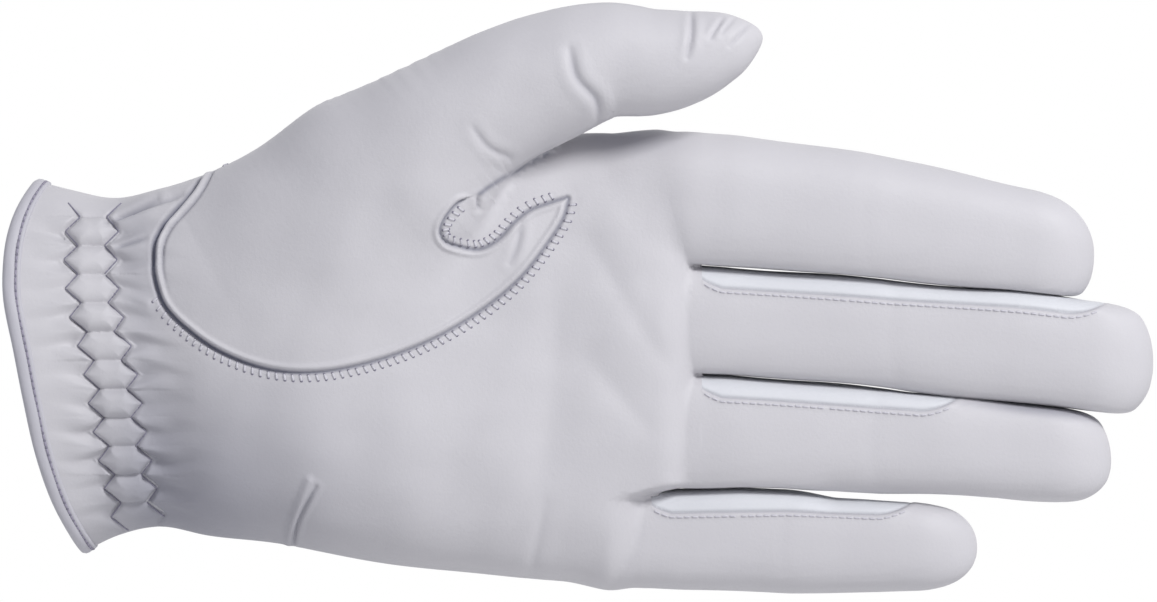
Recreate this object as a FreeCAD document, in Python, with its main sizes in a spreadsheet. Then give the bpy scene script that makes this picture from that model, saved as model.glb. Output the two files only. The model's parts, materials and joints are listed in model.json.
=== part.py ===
"""Left-hand golf glove in thin leather, shaped as it is on a hand, in millimetres.

+X runs from the wrist to the fingertips, +Z to the thumb side, and the palm faces -Y.
The origin is the middle of the wrist mouth. Every panel is a wall of the hollow glove.
"""
import FreeCAD, Part
import Sketcher
import math
import os

V = FreeCAD.Vector
FAR = 120          # reach of the tools that cut through the whole glove
JOINT_GAP = 0.3    # half the clearance between two parts of a finger

# Each dimension is one cell of the sheet, under its name.
DIMENSIONS = {
    "leather": 0.8, "binding_rise": 0.7, "hem_width": 2.4, "hem_radius": 85, "hem_centre_x": 80,
    "hem_centre_z": 10, "elastic": 1.0, "elastic_x": 18.5, "elastic_width": 11, "thread": 0.25,
    "slit_z": -1, "slit_half_width": 2.5, "slit_end_x": 70, "slit_binding_width": 2.2,
    "tab_x": 43, "tab_width": 26, "tab_hinge_z": 13, "tab_free_z": -26, "tab_sewn_width": 8,
    "pad_thickness": 1.2, "hook_gap": 0.2, "hook_thickness": 1.0, "tab_lining": 0.5, "tab_leather": 0.8,
    "loop_top_z": -7, "loop_bottom_z": -31, "loop_width": 27.0, "gusset_half_height": 3.2,
    "knuckle_x": 134, "little_knuckle_x": 124, "thumb_knuckle_x": 113.3, "thumb_joint_x": 132,
    "finger_joint_share": 0.46,
    "elastic_lean_shift": 8,
    "elastic_reach": 60,
    "zigzag_left_x": 14.4,
    "zigzag_right_x": 22.6,
    "zigzag_swing": 1.5,
    "hem_line_inset": 1.5,
    "thread_width": 0.5,
}

# Finger: root on the knuckle line, lean towards +Z in degrees, length, then half width
# and half depth at the root.
FINGERS = {
    "index": {"root_z": 32.3, "lean": -7.4, "length": 79.0, "half_width": 12.0, "half_depth": 9.8},
    "middle": {"root_z": 7.6, "lean": -4.3, "length": 90.4, "half_width": 10.4, "half_depth": 9.8},
    "ring": {"root_z": -14.6, "lean": -2.3, "length": 82.0, "half_width": 10.0, "half_depth": 9.5},
    "little": {"root_z": -35.8, "lean": -2.2, "length": 65.4, "half_width": 8.9, "half_depth": 8.6},
}
# Share of the length, and share of the root's half width left there.
FINGER_TAPER = [(-0.05, 1.0), (0.18, 0.995), (0.4, 0.97), (0.74, 0.9), (0.92, 0.72), (0.985, 0.42), (1.0, 0.25)]
# Which sides of a finger face a neighbour: +1 is the thumb side, -1 the little-finger side.
GUSSET_SIDES = {"index": [-1], "middle": [1, -1], "ring": [1, -1], "little": [1]}
SIDE_NAMES = {1: "thumb_side", -1: "outer_side"}

# Hand sections from mouth to knuckles: x, centre z, half width, half depth, centre y, lean in degrees.
HAND = {
    "mouth": (-6, -1.5, 39.4, 26.5, 0, 5),
    "wrist": (19, -0.5, 32.8, 21.0, 0, 8),
    "heel": (46, 0.0, 35.6, 20.0, -1, 3),
    "palm": (78, 1.5, 42.2, 16.5, -1, 0),
    "upper": (108, 1.8, 44.5, 13.2, 0, 0),
    "knuckle": (136, 0.4, 44.6, 11.4, 0, 0),
}
# Thumb sections from the ball of the thumb to its tip, in the same order.
THUMB = {
    "ball": (44, 17, 19.0, 13.5, -4, 35),
    "swell": (74, 33, 23.0, 17.0, -8, 33),
    "web": (92, 48.5, 16.5, 14.0, -10, 28),
    "base": (107, 57.5, 12.6, 11.8, -12, 16),
    "middle": (121, 59.3, 10.9, 10.4, -13, 2),
    "pad": (134, 61.3, 8.4, 8.3, -13.5, 10),
    "tip": (143, 64.0, 4.9, 4.8, -13.5, 16),
    "point": (146.2, 65.0, 1.9, 1.8, -13.5, 16),
}
SECTION_FIELDS = ("x", "z", "width", "depth", "y", "lean")

doc = FreeCAD.newDocument("golf_glove")
sheet = doc.addObject("Spreadsheet::Sheet", "dims")
parts = {}


def fill_sheet():
    """Writes every driving dimension to the sheet and gives its cell an alias."""
    rows = dict(DIMENSIONS)
    for finger, sizes in FINGERS.items():
        rows.update({f"{finger}_{name}": value for name, value in sizes.items()})
    for family, sections in (("hand", HAND), ("thumb", THUMB)):
        for name, values in sections.items():
            rows.update({f"{family}_{name}_{f}": v for f, v in zip(SECTION_FIELDS, values)})
    for row, (alias, value) in enumerate(rows.items(), start=1):
        sheet.set(f"A{row}", alias)
        sheet.set(f"B{row}", str(value))
        sheet.setAlias(f"B{row}", alias)
    doc.recompute()


def size(alias):
    return float(sheet.get(alias))


def facing(lean):
    """Turn that stands a flat outline across the hand, its own X to +Y and its own Y to the thumb side."""
    c, s = math.cos(math.radians(lean)), math.sin(math.radians(lean))
    return FreeCAD.Rotation(V(0, 1, 0), V(-s, 0, c), V(c, 0, s), "XYZ")


def bind(obj, **expressions):
    """Binds properties to the sheet; a place is bound as x, y or z."""
    for name, expression in expressions.items():
        path = f"Placement.Base.{name}" if name in "xyz" else name
        obj.setExpression(path, expression)
    return obj


def box(name, x, y, z, length, width, height, lean=0):
    """Box from its low corner; each argument is an expression of the sheet or a number."""
    obj = doc.addObject("Part::Box", name)
    obj.Placement = FreeCAD.Placement(V(), FreeCAD.Rotation(V(0, -1, 0), lean))
    return bind(obj, x=str(x), y=str(y), z=str(z), Length=str(length), Width=str(width), Height=str(height))


def cut(name, base, *tools):
    tool = tools[0] if len(tools) == 1 else fuse(name + "_tools", *tools)
    obj = doc.addObject("Part::Cut", name)
    obj.Base, obj.Tool = base, tool
    return obj


def fuse(name, *shapes):
    obj = doc.addObject("Part::MultiFuse", name)
    obj.Shapes = list(shapes)
    return obj


def common(name, a, b):
    obj = doc.addObject("Part::MultiCommon", name)
    obj.Shapes = [a, b]
    return obj


def loft(name, sections):
    obj = doc.addObject("Part::Loft", name)
    obj.Sections = sections
    obj.Solid, obj.Ruled, obj.MaxDegree = True, False, 3
    return obj


def keep(label, obj):
    """Registers a finished piece under the name of its file."""
    obj.Label = label
    parts[label] = obj
    return obj


def stadium(name, key, offset):
    """Sketch of one hand section: two half circles joined by straight sides."""
    sketch = doc.addObject("Sketcher::SketchObject", name)
    half_depth = size(f"hand_{key}_depth")
    reach = size(f"hand_{key}_width") - size(f"hand_{key}_depth")
    ends = [(V(0, reach, 0), 0.0), (V(0, -reach, 0), math.pi)]
    for centre, start in ends:
        circle = Part.Circle(centre, V(0, 0, 1), half_depth)
        sketch.addGeometry(Part.ArcOfCircle(circle, start, start + math.pi))
    sketch.addGeometry(Part.LineSegment(V(-half_depth, reach, 0), V(-half_depth, -reach, 0)))
    sketch.addGeometry(Part.LineSegment(V(half_depth, -reach, 0), V(half_depth, reach, 0)))
    for pair in ((0, 2, 2, 1), (2, 2, 1, 1), (1, 2, 3, 1), (3, 2, 0, 1)):
        sketch.addConstraint(Sketcher.Constraint("Tangent", *pair))
    sketch.addConstraint(Sketcher.Constraint("PointOnObject", 0, 3, -2))
    sketch.addConstraint(Sketcher.Constraint("Symmetric", 0, 3, 1, 3, -1, 1))
    sketch.addConstraint(Sketcher.Constraint("Equal", 0, 1))
    radius = sketch.addConstraint(Sketcher.Constraint("Radius", 0, half_depth))
    spread = sketch.addConstraint(Sketcher.Constraint("DistanceY", 1, 3, 0, 3, 2 * reach))
    sketch.setExpression(f"Constraints[{radius}]", f"dims.hand_{key}_depth + ({offset})")
    sketch.setExpression(f"Constraints[{spread}]", f"2 * (dims.hand_{key}_width - dims.hand_{key}_depth)")
    sketch.Placement = FreeCAD.Placement(V(), facing(size(f"hand_{key}_lean")))
    return bind(sketch, x=f"dims.hand_{key}_x", y=f"dims.hand_{key}_y", z=f"dims.hand_{key}_z")


def hand_loft(name, offset):
    """The hand's skin moved outwards by offset, as one solid."""
    return loft(name, [stadium(f"{name}_{key}", key, offset) for key in HAND])


def ellipse(name, place, half_width, half_depth, lean):
    """Ellipse across a finger, its sizes bound to the sheet. It is never deeper than it is wide."""
    obj = doc.addObject("Part::Ellipse", name)
    obj.Placement = FreeCAD.Placement(V(), facing(lean) * FreeCAD.Rotation(V(0, 0, 1), 90))
    return bind(obj, x=place[0], y=place[1], z=place[2], MajorRadius=half_width, MinorRadius=half_depth)


def thumb_loft(name, offset, keys=tuple(THUMB)):
    """The thumb's skin moved outwards by offset, as one solid."""
    sections = []
    for key in keys:
        cell = f"dims.thumb_{key}_"
        sections.append(ellipse(f"{name}_{key}", (cell + "x", cell + "y", cell + "z"),
                                f"{cell}width + ({offset})", f"{cell}depth + ({offset})",
                                size(f"thumb_{key}_lean")))
    return loft(name, sections)


def finger_loft(name, finger, offset):
    """One finger's skin moved outwards by offset, as one solid that starts inside the hand."""
    lean = size(f"{finger}_lean")
    c, s = math.cos(math.radians(lean)), math.sin(math.radians(lean))
    root = "dims.little_knuckle_x" if finger == "little" else "dims.knuckle_x"
    sections = []
    for number, (share, taper) in enumerate(FINGER_TAPER):
        along = f"{share} * (dims.{finger}_length + ({offset}))"
        place = (f"{root} + {c:.6f} * {along}", "0", f"dims.{finger}_root_z + {s:.6f} * {along}")
        grow = f" + ({offset}) * {min(1, taper + 0.2):.2f}"
        sections.append(ellipse(f"{name}_{number}", place, f"dims.{finger}_half_width * {taper}" + grow,
                                f"dims.{finger}_half_depth * {taper}" + grow, lean))
    return loft(name, sections)


def gusset_tool(name, finger, side):
    """Wedge that holds the side strip of a finger: gusset_half_height each way at the root, a point at the tip."""
    lean = size(f"{finger}_lean")
    c, s = math.cos(math.radians(lean)), math.sin(math.radians(lean))
    root = "dims.little_knuckle_x" if finger == "little" else "dims.knuckle_x"
    obj = doc.addObject("Part::Wedge", name)
    start, blunt, reach = 5, 0.05, 24
    turn = FreeCAD.Rotation(V(0, -side, 0), V(c, 0, s), V(-side * s, 0, side * c), "XYZ")
    obj.Placement = FreeCAD.Placement(V(), turn)
    length = f"(0.97 * dims.{finger}_length + {start})"
    bind(obj, x=f"{root} - {c:.6f} * {start}", z=f"dims.{finger}_root_z - {s:.6f} * {start}",
         Ymax=length, Xmin="-dims.gusset_half_height", Xmax="dims.gusset_half_height")
    obj.Ymin, obj.Zmin, obj.Z2min, obj.Zmax, obj.Z2max = 0, 0, 0, reach, reach
    obj.X2min, obj.X2max = -blunt, blunt
    return obj


def build_finger(finger):
    """Front, back and side strips of one finger, each in a lower and an upper part."""
    tube = cut(f"{finger}_tube", finger_loft(f"{finger}_skin", finger, "0"),
               finger_loft(f"{finger}_hollow", finger, "-dims.leather"))
    root = "dims.little_knuckle_x" if finger == "little" else "dims.knuckle_x"
    joint = f"{root} + dims.finger_joint_share * dims.{finger}_length"
    lower_length = f"dims.finger_joint_share * dims.{finger}_length - {2 * JOINT_GAP}"
    spans = {"lower": (f"{root} + {JOINT_GAP}", lower_length),
             "upper": (f"{joint} + {JOINT_GAP}", f"{FAR}")}
    for level, (start, length) in spans.items():
        slab = box(f"{finger}_{level}_slab", start, -FAR / 2, -FAR, length, FAR, 2 * FAR)
        piece = common(f"{finger}_{level}_tube", tube, slab)
        wedges = {side: gusset_tool(f"{finger}_{level}_wedge_{SIDE_NAMES[side]}", finger, side)
                  for side in GUSSET_SIDES[finger]}
        for face, low_y in (("front", -FAR), ("back", 0)):
            half = box(f"{finger}_{level}_{face}_half", 0, low_y, -FAR, 3 * FAR, FAR, 2 * FAR)
            whole = common(f"{finger}_{level}_{face}_whole", piece, half)
            keep(f"{finger}_{face}_{level}", cut(f"{finger}_{level}_{face}_cut", whole, *wedges.values()))
        for side, wedge in wedges.items():
            keep(f"{finger}_gusset_{SIDE_NAMES[side]}_{level}",
                 common(f"{finger}_{level}_gusset_{SIDE_NAMES[side]}", piece, wedge))


def spline(points, y):
    curve = Part.BSplineCurve()
    curve.interpolate([V(x, y, z) for x, z in points])
    return curve


def prism(name, edges, depth):
    """Straight tool through the glove over a closed outline that lies at one Y."""
    obj = doc.addObject("Part::Feature", name)
    obj.Shape = Part.Face(Part.Wire(edges)).extrude(V(0, depth, 0))
    return obj


def panel_tool(name, curves, right_x, low_y):
    """Holds all that lies above a chain of smooth seams and left of right_x, on one side of the hand."""
    edges = [spline(points, low_y).toShape() for points in curves]
    first, last = V(*edges[0].Vertexes[0].Point), V(*edges[-1].Vertexes[-1].Point)
    corners = [last, V(right_x, low_y, last.z + right_x - last.x), V(right_x, low_y, FAR)]
    corners += [V(first.x, low_y, FAR), first]
    return prism(name, [*edges, *Part.makePolygon(corners).Edges], FAR)


def band_tool(name, points, near, far, samples=30):
    """Strip beside a seam, between two distances measured to its left, on the palm side."""
    curve = spline(points, -FAR)
    low, high = curve.FirstParameter, curve.LastParameter
    rows = []
    for distance in (near, far):
        row = []
        for step in range(samples + 1):
            t = low + (high - low) * step / samples
            at, along = curve.value(t), curve.tangent(t)[0]
            row.append((at.x + along.z * distance, at.z - along.x * distance))
        rows.append(row)
    inner, outer = (spline(row, -FAR).toShape() for row in rows)
    ends = [Part.makeLine(inner.Vertexes[k].Point, outer.Vertexes[k].Point) for k in (0, -1)]
    return prism(name, Part.sortEdges([inner, outer, *ends])[0], FAR)


def zigzag_tool(name, centre_x, amplitude, mirror):
    """Zigzag line of stitching across the wrist, which leans with it, through front and back."""
    pitch, half, line = 5.6, 42.0, 0.5
    lean = math.tan(math.radians(size("hand_wrist_lean")))
    forward = []
    for step in range(int(2 * half / (pitch / 2)) + 1):
        z = -half + step * pitch / 2
        swing = amplitude * (1 if step % 2 else -1) * mirror
        forward.append(V(centre_x - z * lean + swing, -FAR, z))
    back = [p + V(line, 0, 0) for p in reversed(forward)]
    return prism(name, Part.makePolygon([*forward, *back, forward[0]]).Edges, 2 * FAR)


def slot(name, half_width):
    """Slit from the mouth up the back of the hand, with a round end."""
    tool = box(name + "_run", -FAR, 0, f"dims.slit_z - {half_width}", f"{FAR} + dims.slit_end_x", FAR,
               f"2 * {half_width}")
    end = doc.addObject("Part::Cylinder", name + "_end")
    end.Placement = FreeCAD.Placement(V(), FreeCAD.Rotation(V(1, 0, 0), -90))
    bind(end, x="dims.slit_end_x", z="dims.slit_z", Radius=half_width, Height=str(FAR))
    return fuse(name, tool, end)


def mouth_tool(name, inset):
    """Drum whose left side is the curved line of the cuff's hem, moved in by inset."""
    drum = doc.addObject("Part::Cylinder", name)
    drum.Placement = FreeCAD.Placement(V(), FreeCAD.Rotation(V(1, 0, 0), -90))
    return bind(drum, x="dims.hem_centre_x", y=str(-FAR / 2), z="dims.hem_centre_z",
                Radius=f"dims.hem_radius - ({inset})", Height=str(FAR))


THUMB_SEAM = [(35, 39), (27.2, 26), (28.4, 11), (42, 0.6), (60, -1.2), (80, 4.2), (98, 16.2), (109.5, 32.5)]
TONGUE_SEAM = [(109.5, 32.5), (101.5, 30.4), (94, 24.4), (86.4, 23.6), (83.2, 27.8), (90.6, 33.6)]
BACK_THUMB_SEAM = [(35, 39), (52, 33), (74, 35), (96, 42)]
# Distance of the near and the far edge of each row of stitches from the thumb seam.
SEAM_ROWS = ((0.9, 1.3), (2.0, 2.4))
LABEL = {"x": 34, "z": 6, "length": 14, "height": 16}


def build_hand():
    """Palm, back and thumb panels, and everything that is sewn to them."""
    outer, inner = hand_loft("hand_skin", "0"), hand_loft("hand_hollow", "-dims.leather")
    front_half = box("front_half", -FAR, -FAR, -FAR, 3 * FAR, FAR, 2 * FAR)
    back_half = box("back_half", -FAR, 0, -FAR, 3 * FAR, FAR, 2 * FAR)

    thumb_root = box("thumb_root_side", -FAR, -FAR, -FAR,
                     f"{FAR} + dims.thumb_knuckle_x - {JOINT_GAP}", 2 * FAR, 3 * FAR)
    thumb_outer = thumb_loft("thumb_skin", "0")
    thumb_inner = thumb_loft("thumb_hollow", "-dims.leather", tuple(THUMB)[:-1])
    full = fuse("full_skin", outer, common("thumb_skin_root", thumb_outer, thumb_root))
    hollow = fuse("full_hollow", inner, common("thumb_hollow_root", thumb_inner, thumb_root))
    shell = cut("hand_shell", full, hollow)
    knuckles = box("knuckle_side", f"dims.knuckle_x - {JOINT_GAP}", -FAR, -FAR, FAR, 2 * FAR, 2 * FAR)
    little = box("little_knuckle_side", f"dims.little_knuckle_x - {JOINT_GAP}", -FAR, -FAR, FAR, 2 * FAR,
                 f"{FAR} + (dims.ring_root_z - dims.ring_half_width - 0.9)")
    ended = cut("hand_ended", shell, knuckles, little)
    trimmed = common("hand_trimmed", ended, mouth_tool("hem_inside", "dims.hem_width"))

    front_thumb = panel_tool("front_thumb_tool", [THUMB_SEAM, TONGUE_SEAM], 113, -FAR)
    back_thumb = panel_tool("back_thumb_tool", [BACK_THUMB_SEAM], 113, 0)
    slit = slot("slit", "dims.slit_half_width")
    keep("palm_panel", cut("palm_cut", common("palm_whole", trimmed, front_half), front_thumb))
    keep("back_panel", cut("back_cut", common("back_whole", trimmed, back_half), back_thumb, slit))
    keep("thumb_panel", common("thumb_panel_common", trimmed, fuse("thumb_tools", front_thumb, back_thumb)))

    thumb_tube = cut("thumb_tube", thumb_outer, thumb_inner)
    lower = box("thumb_lower_slab", f"dims.thumb_knuckle_x + {JOINT_GAP}", -FAR, -FAR,
                f"dims.thumb_joint_x - dims.thumb_knuckle_x - {2 * JOINT_GAP}", 2 * FAR, 3 * FAR)
    upper = box("thumb_upper_slab", f"dims.thumb_joint_x + {JOINT_GAP}", -FAR, -FAR, FAR, 2 * FAR, 3 * FAR)
    keep("thumb_lower", common("thumb_lower_common", thumb_tube, lower))
    keep("thumb_upper", common("thumb_upper_common", thumb_tube, upper))
    return outer, inner, slit, full


def build_cuff(outer, inner, slit, full):
    """Hem, elastic, slit binding, label and the lines of thread."""
    raised = hand_loft("binding_skin", "dims.binding_rise")
    backing = hand_loft("binding_hollow", "-dims.leather - dims.binding_rise")
    hem = common("hem_ring", cut("binding_ring", raised, backing),
                 cut("hem_strip", mouth_tool("hem_edge", "0"), mouth_tool("hem_inner", "dims.hem_width")))
    left = box("mouth_side", -FAR, -FAR, -FAR, FAR + 30, 2 * FAR, 2 * FAR)
    keep("hem_binding", cut("hem_cut", common("hem_left", hem, left), slit))

    band_skin = hand_loft("elastic_skin", "-dims.leather - 0.02")
    band_hollow = hand_loft("elastic_hollow", "-dims.leather - dims.elastic")
    slab = box("elastic_slab", "dims.elastic_x - dims.elastic_width / 2 + dims.elastic_lean_shift", -FAR,
               "-dims.elastic_reach", "dims.elastic_width", 2 * FAR, "2 * dims.elastic_reach", size("hand_wrist_lean"))
    ring = common("elastic_ring", cut("elastic_wall", band_skin, band_hollow), slab)
    keep("wrist_elastic", cut("elastic_cut", ring, slit))

    wide_slit = slot("wide_slit", "(dims.slit_half_width + dims.slit_binding_width)")
    trim_skin = hand_loft("trim_skin", "0.5")
    trim = cut("trim_wall", trim_skin, outer)
    back = box("back_of_cuff", 0, 0, -FAR, FAR, FAR, 2 * FAR)
    behind_hem = common("slit_side", mouth_tool("slit_mouth", "dims.hem_width"), back)
    strip = common("slit_strip", cut("slit_frame", wide_slit, slit), behind_hem)
    keep("slit_binding", common("slit_binding_common", trim, strip))

    label_skin = hand_loft("label_skin", "-dims.leather - 0.25")
    label_place = box("label_place", LABEL["x"], 0, LABEL["z"], LABEL["length"], FAR, LABEL["height"])
    keep("size_label", common("label_common", cut("label_wall", inner, label_skin), label_place))

    hem_line_skin = hand_loft("hem_line_skin", "dims.binding_rise + dims.thread")
    hem_line = cut("hem_line_strip", mouth_tool("hem_line_edge", "dims.hem_line_inset"),
                   mouth_tool("hem_line_inner", "dims.hem_line_inset + dims.thread_width"))
    line = common("hem_line", cut("hem_line_wall", hem_line_skin, raised), hem_line)
    keep("hem_thread", cut("hem_thread_cut", common("hem_line_left", line, left), wide_slit))

    zigzags = fuse("zigzags", zigzag_tool("zigzag_left", size("zigzag_left_x"), size("zigzag_swing"), 1),
                   zigzag_tool("zigzag_right", size("zigzag_right_x"), size("zigzag_swing"), -1))
    thread_wall = cut("thread_wall", hand_loft("thread_skin", "dims.thread"), outer)
    keep("elastic_thread", cut("elastic_thread_cut", common("zigzag_wall", thread_wall, zigzags), wide_slit))

    seam_skin = fuse("seam_skin", hand_loft("hand_seam_skin", "dims.thread"),
                     thumb_loft("thumb_seam_skin", "dims.thread"))
    near, far = SEAM_ROWS
    rows = fuse("seam_rows", band_tool("seam_row_near", THUMB_SEAM, *near), band_tool("seam_row_far", THUMB_SEAM, *far))
    keep("thumb_seam_thread", common("seam_common", cut("seam_wall", seam_skin, full), rows))


def build_closure(outer):
    """Loop pad on the back of the wrist, and the tab that closes over it."""
    left = "dims.tab_x - dims.tab_width / 2"
    loop_skin = hand_loft("loop_skin", "dims.pad_thickness")
    loop_place = box("loop_place", "dims.tab_x - dims.loop_width / 2", 0, "dims.loop_bottom_z",
                     "dims.loop_width", FAR, "dims.loop_top_z - dims.loop_bottom_z")
    keep("loop_pad", common("loop_common", cut("loop_wall", loop_skin, outer), loop_place))

    levels = {"hook": "dims.pad_thickness + dims.hook_gap"}
    levels["lining"] = levels["hook"] + " + dims.hook_thickness"
    levels["leather"] = levels["lining"] + " + dims.tab_lining"
    levels["top"] = levels["leather"] + " + dims.tab_leather"
    skins = {name: hand_loft(f"tab_{name}_skin", level) for name, level in levels.items()}

    hook_place = box("hook_place", left + " + 2", 0, "dims.tab_free_z + 3", "dims.tab_width - 4", FAR,
                     "dims.loop_top_z - dims.tab_free_z - 4")
    keep("hook_pad", common("hook_common", cut("hook_wall", skins["lining"], skins["hook"]), hook_place))
    run = box("tab_run", left, 0, "dims.tab_free_z + dims.tab_width / 2", "dims.tab_width", FAR,
              "dims.tab_hinge_z - dims.tab_free_z - dims.tab_width / 2")
    end = doc.addObject("Part::Cylinder", "tab_end")
    end.Placement = FreeCAD.Placement(V(), FreeCAD.Rotation(V(1, 0, 0), -90))
    bind(end, x="dims.tab_x", z="dims.tab_free_z + dims.tab_width / 2",
         Radius="dims.tab_width / 2", Height=str(FAR))
    outline = fuse("tab_outline", run, end)
    keep("tab_lining", common("lining_common", cut("lining_wall", skins["leather"], skins["lining"]), outline))
    keep("tab_leather", common("leather_common", cut("leather_wall", skins["top"], skins["leather"]), outline))
    sewn_place = box("sewn_place", left, 0, f"dims.tab_hinge_z + {JOINT_GAP}",
                     "dims.tab_width", FAR, "dims.tab_sewn_width")
    keep("tab_sewn_end", common("sewn_common", cut("sewn_wall", skins["hook"], outer), sewn_place))


def check_and_write():
    """Stops on any failed object or bad shape, then writes one STEP file for each piece."""
    for obj in doc.Objects:
        if {"Invalid", "Error"} & set(obj.State):
            raise SystemExit(f"{obj.Name} failed: {obj.State}")
    os.makedirs("parts", exist_ok=True)
    for label, obj in parts.items():
        shape = obj.Shape
        if shape.isNull() or not shape.isValid() or not shape.Solids:
            raise SystemExit(f"{label} has no valid solid")
        shape.exportStep(f"parts/{label}.step")
        print(f"{label}: {len(shape.Solids)} solids, {shape.Volume:.1f} mm3")


fill_sheet()
skin, hollow_skin, slit_slot, full_skin = build_hand()
build_cuff(skin, hollow_skin, slit_slot, full_skin)
build_closure(skin)
for finger_name in FINGERS:
    build_finger(finger_name)
doc.recompute()
check_and_write()
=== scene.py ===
"""Looks of the left-hand golf glove, in metres, in the frame of its CAD parts.

The glove's skin is one implicit shape: a palm, four fingers and a thumb that melt into each other. It is
meshed in pieces that meet at the knuckle line, refined and shaped along its seams, and cut into its panels.
All the shape work below is in millimetres; a piece becomes metres when its mesh is made.
"""
import json
import math
import bmesh
import bpy
import numpy as np
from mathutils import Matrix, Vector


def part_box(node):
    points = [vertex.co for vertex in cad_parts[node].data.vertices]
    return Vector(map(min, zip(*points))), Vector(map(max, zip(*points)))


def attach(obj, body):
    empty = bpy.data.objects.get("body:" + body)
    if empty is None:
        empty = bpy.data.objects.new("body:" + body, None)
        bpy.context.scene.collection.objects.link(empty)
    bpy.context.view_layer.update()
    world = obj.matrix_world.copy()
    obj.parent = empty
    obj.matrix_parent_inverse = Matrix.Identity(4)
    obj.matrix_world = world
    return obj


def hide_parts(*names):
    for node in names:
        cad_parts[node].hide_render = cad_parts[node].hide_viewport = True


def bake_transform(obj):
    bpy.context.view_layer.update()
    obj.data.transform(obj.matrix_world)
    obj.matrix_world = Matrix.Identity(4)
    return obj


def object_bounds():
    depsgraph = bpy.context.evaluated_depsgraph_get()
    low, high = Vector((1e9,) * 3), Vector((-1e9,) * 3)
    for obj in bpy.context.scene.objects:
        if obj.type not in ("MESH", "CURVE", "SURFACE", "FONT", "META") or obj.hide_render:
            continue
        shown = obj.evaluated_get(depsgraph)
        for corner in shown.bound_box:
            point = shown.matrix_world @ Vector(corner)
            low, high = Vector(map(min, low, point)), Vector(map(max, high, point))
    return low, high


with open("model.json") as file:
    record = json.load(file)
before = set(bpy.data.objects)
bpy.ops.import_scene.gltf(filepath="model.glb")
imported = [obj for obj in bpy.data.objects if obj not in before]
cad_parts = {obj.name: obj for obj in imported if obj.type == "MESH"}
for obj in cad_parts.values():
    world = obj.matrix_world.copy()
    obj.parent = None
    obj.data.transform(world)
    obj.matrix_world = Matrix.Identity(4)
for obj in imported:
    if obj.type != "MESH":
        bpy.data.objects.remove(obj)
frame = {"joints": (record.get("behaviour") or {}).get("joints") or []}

import openvdb
from mathutils import Vector
from mathutils.bvhtree import BVHTree

MM = 0.001
CAD_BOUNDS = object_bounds()
JOINTS = {joint["name"]: joint for joint in frame["joints"]}
LEATHER = 0.7          # thickness of the leather
GRID = 1.0             # spacing of the grid that the skin is meshed on


# ---------------------------------------------------------------- small tools

def box_mm(node):
    """Lowest and highest corner of a CAD node."""
    low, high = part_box(node)
    return np.array(low) / MM, np.array(high) / MM


def joint_mm(name):
    return np.array(JOINTS[name]["pos_m"]) / MM


def smooth_step(x, low, high):
    t = np.clip((x - low) / (high - low), 0, 1)
    return t * t * (3 - 2 * t)


def curve_through(points, count=60):
    """Points along a smooth open curve through a few given points (centripetal Catmull-Rom)."""
    p = np.array(points, float)
    p = np.vstack([2 * p[0] - p[1], p, 2 * p[-1] - p[-2]])
    spans, out = len(p) - 3, []
    for k in range(spans):
        p0, p1, p2, p3 = p[k:k + 4]
        t = [0.0]
        for a, b in ((p0, p1), (p1, p2), (p2, p3)):
            t.append(t[-1] + max(np.linalg.norm(b - a), 1e-6) ** 0.5)
        n = max(2, count // spans)
        u = np.linspace(t[1], t[2], n, endpoint=(k == spans - 1))[:, None]
        a1 = ((t[1] - u) * p0 + (u - t[0]) * p1) / (t[1] - t[0])
        a2 = ((t[2] - u) * p1 + (u - t[1]) * p2) / (t[2] - t[1])
        a3 = ((t[3] - u) * p2 + (u - t[2]) * p3) / (t[3] - t[2])
        b1 = ((t[2] - u) * a1 + (u - t[0]) * a2) / (t[2] - t[0])
        b2 = ((t[3] - u) * a2 + (u - t[1]) * a3) / (t[3] - t[1])
        out.append(((t[2] - u) * b1 + (u - t[1]) * b2) / (t[2] - t[1]))
    return np.vstack(out)


def nearest_on(path, points):
    """For each 2-D point: its distance to the path, and the nearest step of the path, with its share."""
    best, place = np.full(len(points), 1e9), np.zeros(len(points))
    for k, (a, b) in enumerate(zip(path[:-1], path[1:])):
        d = b - a
        t = np.clip(((points - a) @ d) / max(d @ d, 1e-18), 0, 1)
        off = points - (a + t[:, None] * d)
        dist = np.hypot(off[:, 0], off[:, 1])
        closer = dist < best
        best, place = np.where(closer, dist, best), np.where(closer, k + t, place)
    return best, place


def smooth_min(a, b, k):
    h = np.clip(0.5 + 0.5 * (b - a) / k, 0, 1)
    return b * (1 - h) + a * h - k * h * (1 - h)


# ---------------------------------------------------------------- shape of the skin

FINGERS = ("index", "middle", "ring", "little")
KNUCKLE_X = joint_mm("index_knuckle")[0] + 0.2
LITTLE_KNUCKLE_X = joint_mm("little_knuckle")[0] + 0.2
NOTCH_Z = box_mm("little_front_lower")[1][2] + 0.9

# Shape of each finger: how its line drops from the root (slope, curve), and half its width at four places from
# the root to near the tip. Its root and tip come from the CAD parts.
FINGER_SHAPES = {
    "index": {"drop": (-0.083, -0.0007), "half_width": (13.7, 13.1, 11.8, 10.9)},
    "middle": {"drop": (-0.040, -0.0005), "half_width": (10.9, 10.6, 11.3, 11.2)},
    "ring": {"drop": (-0.020, -0.0005), "half_width": (11.4, 10.4, 10.1, 9.6)},
    "little": {"drop": (-0.008, -0.0001), "half_width": (9.3, 10.1, 9.6, 9.0)},
}
TIP_LENGTH = 12.5      # length of the rounded end
TIP_POWER = 2.15       # how square the fingertips are; 2 is a half circle
SECTION_POWER = 2.5    # how square a finger's section is
FINGER_GAP = 0.08      # half the gap between two fingers that lie side by side
GAP_SLANT = 0.05       # the gap leans a little, so that nothing shows through it
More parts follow.
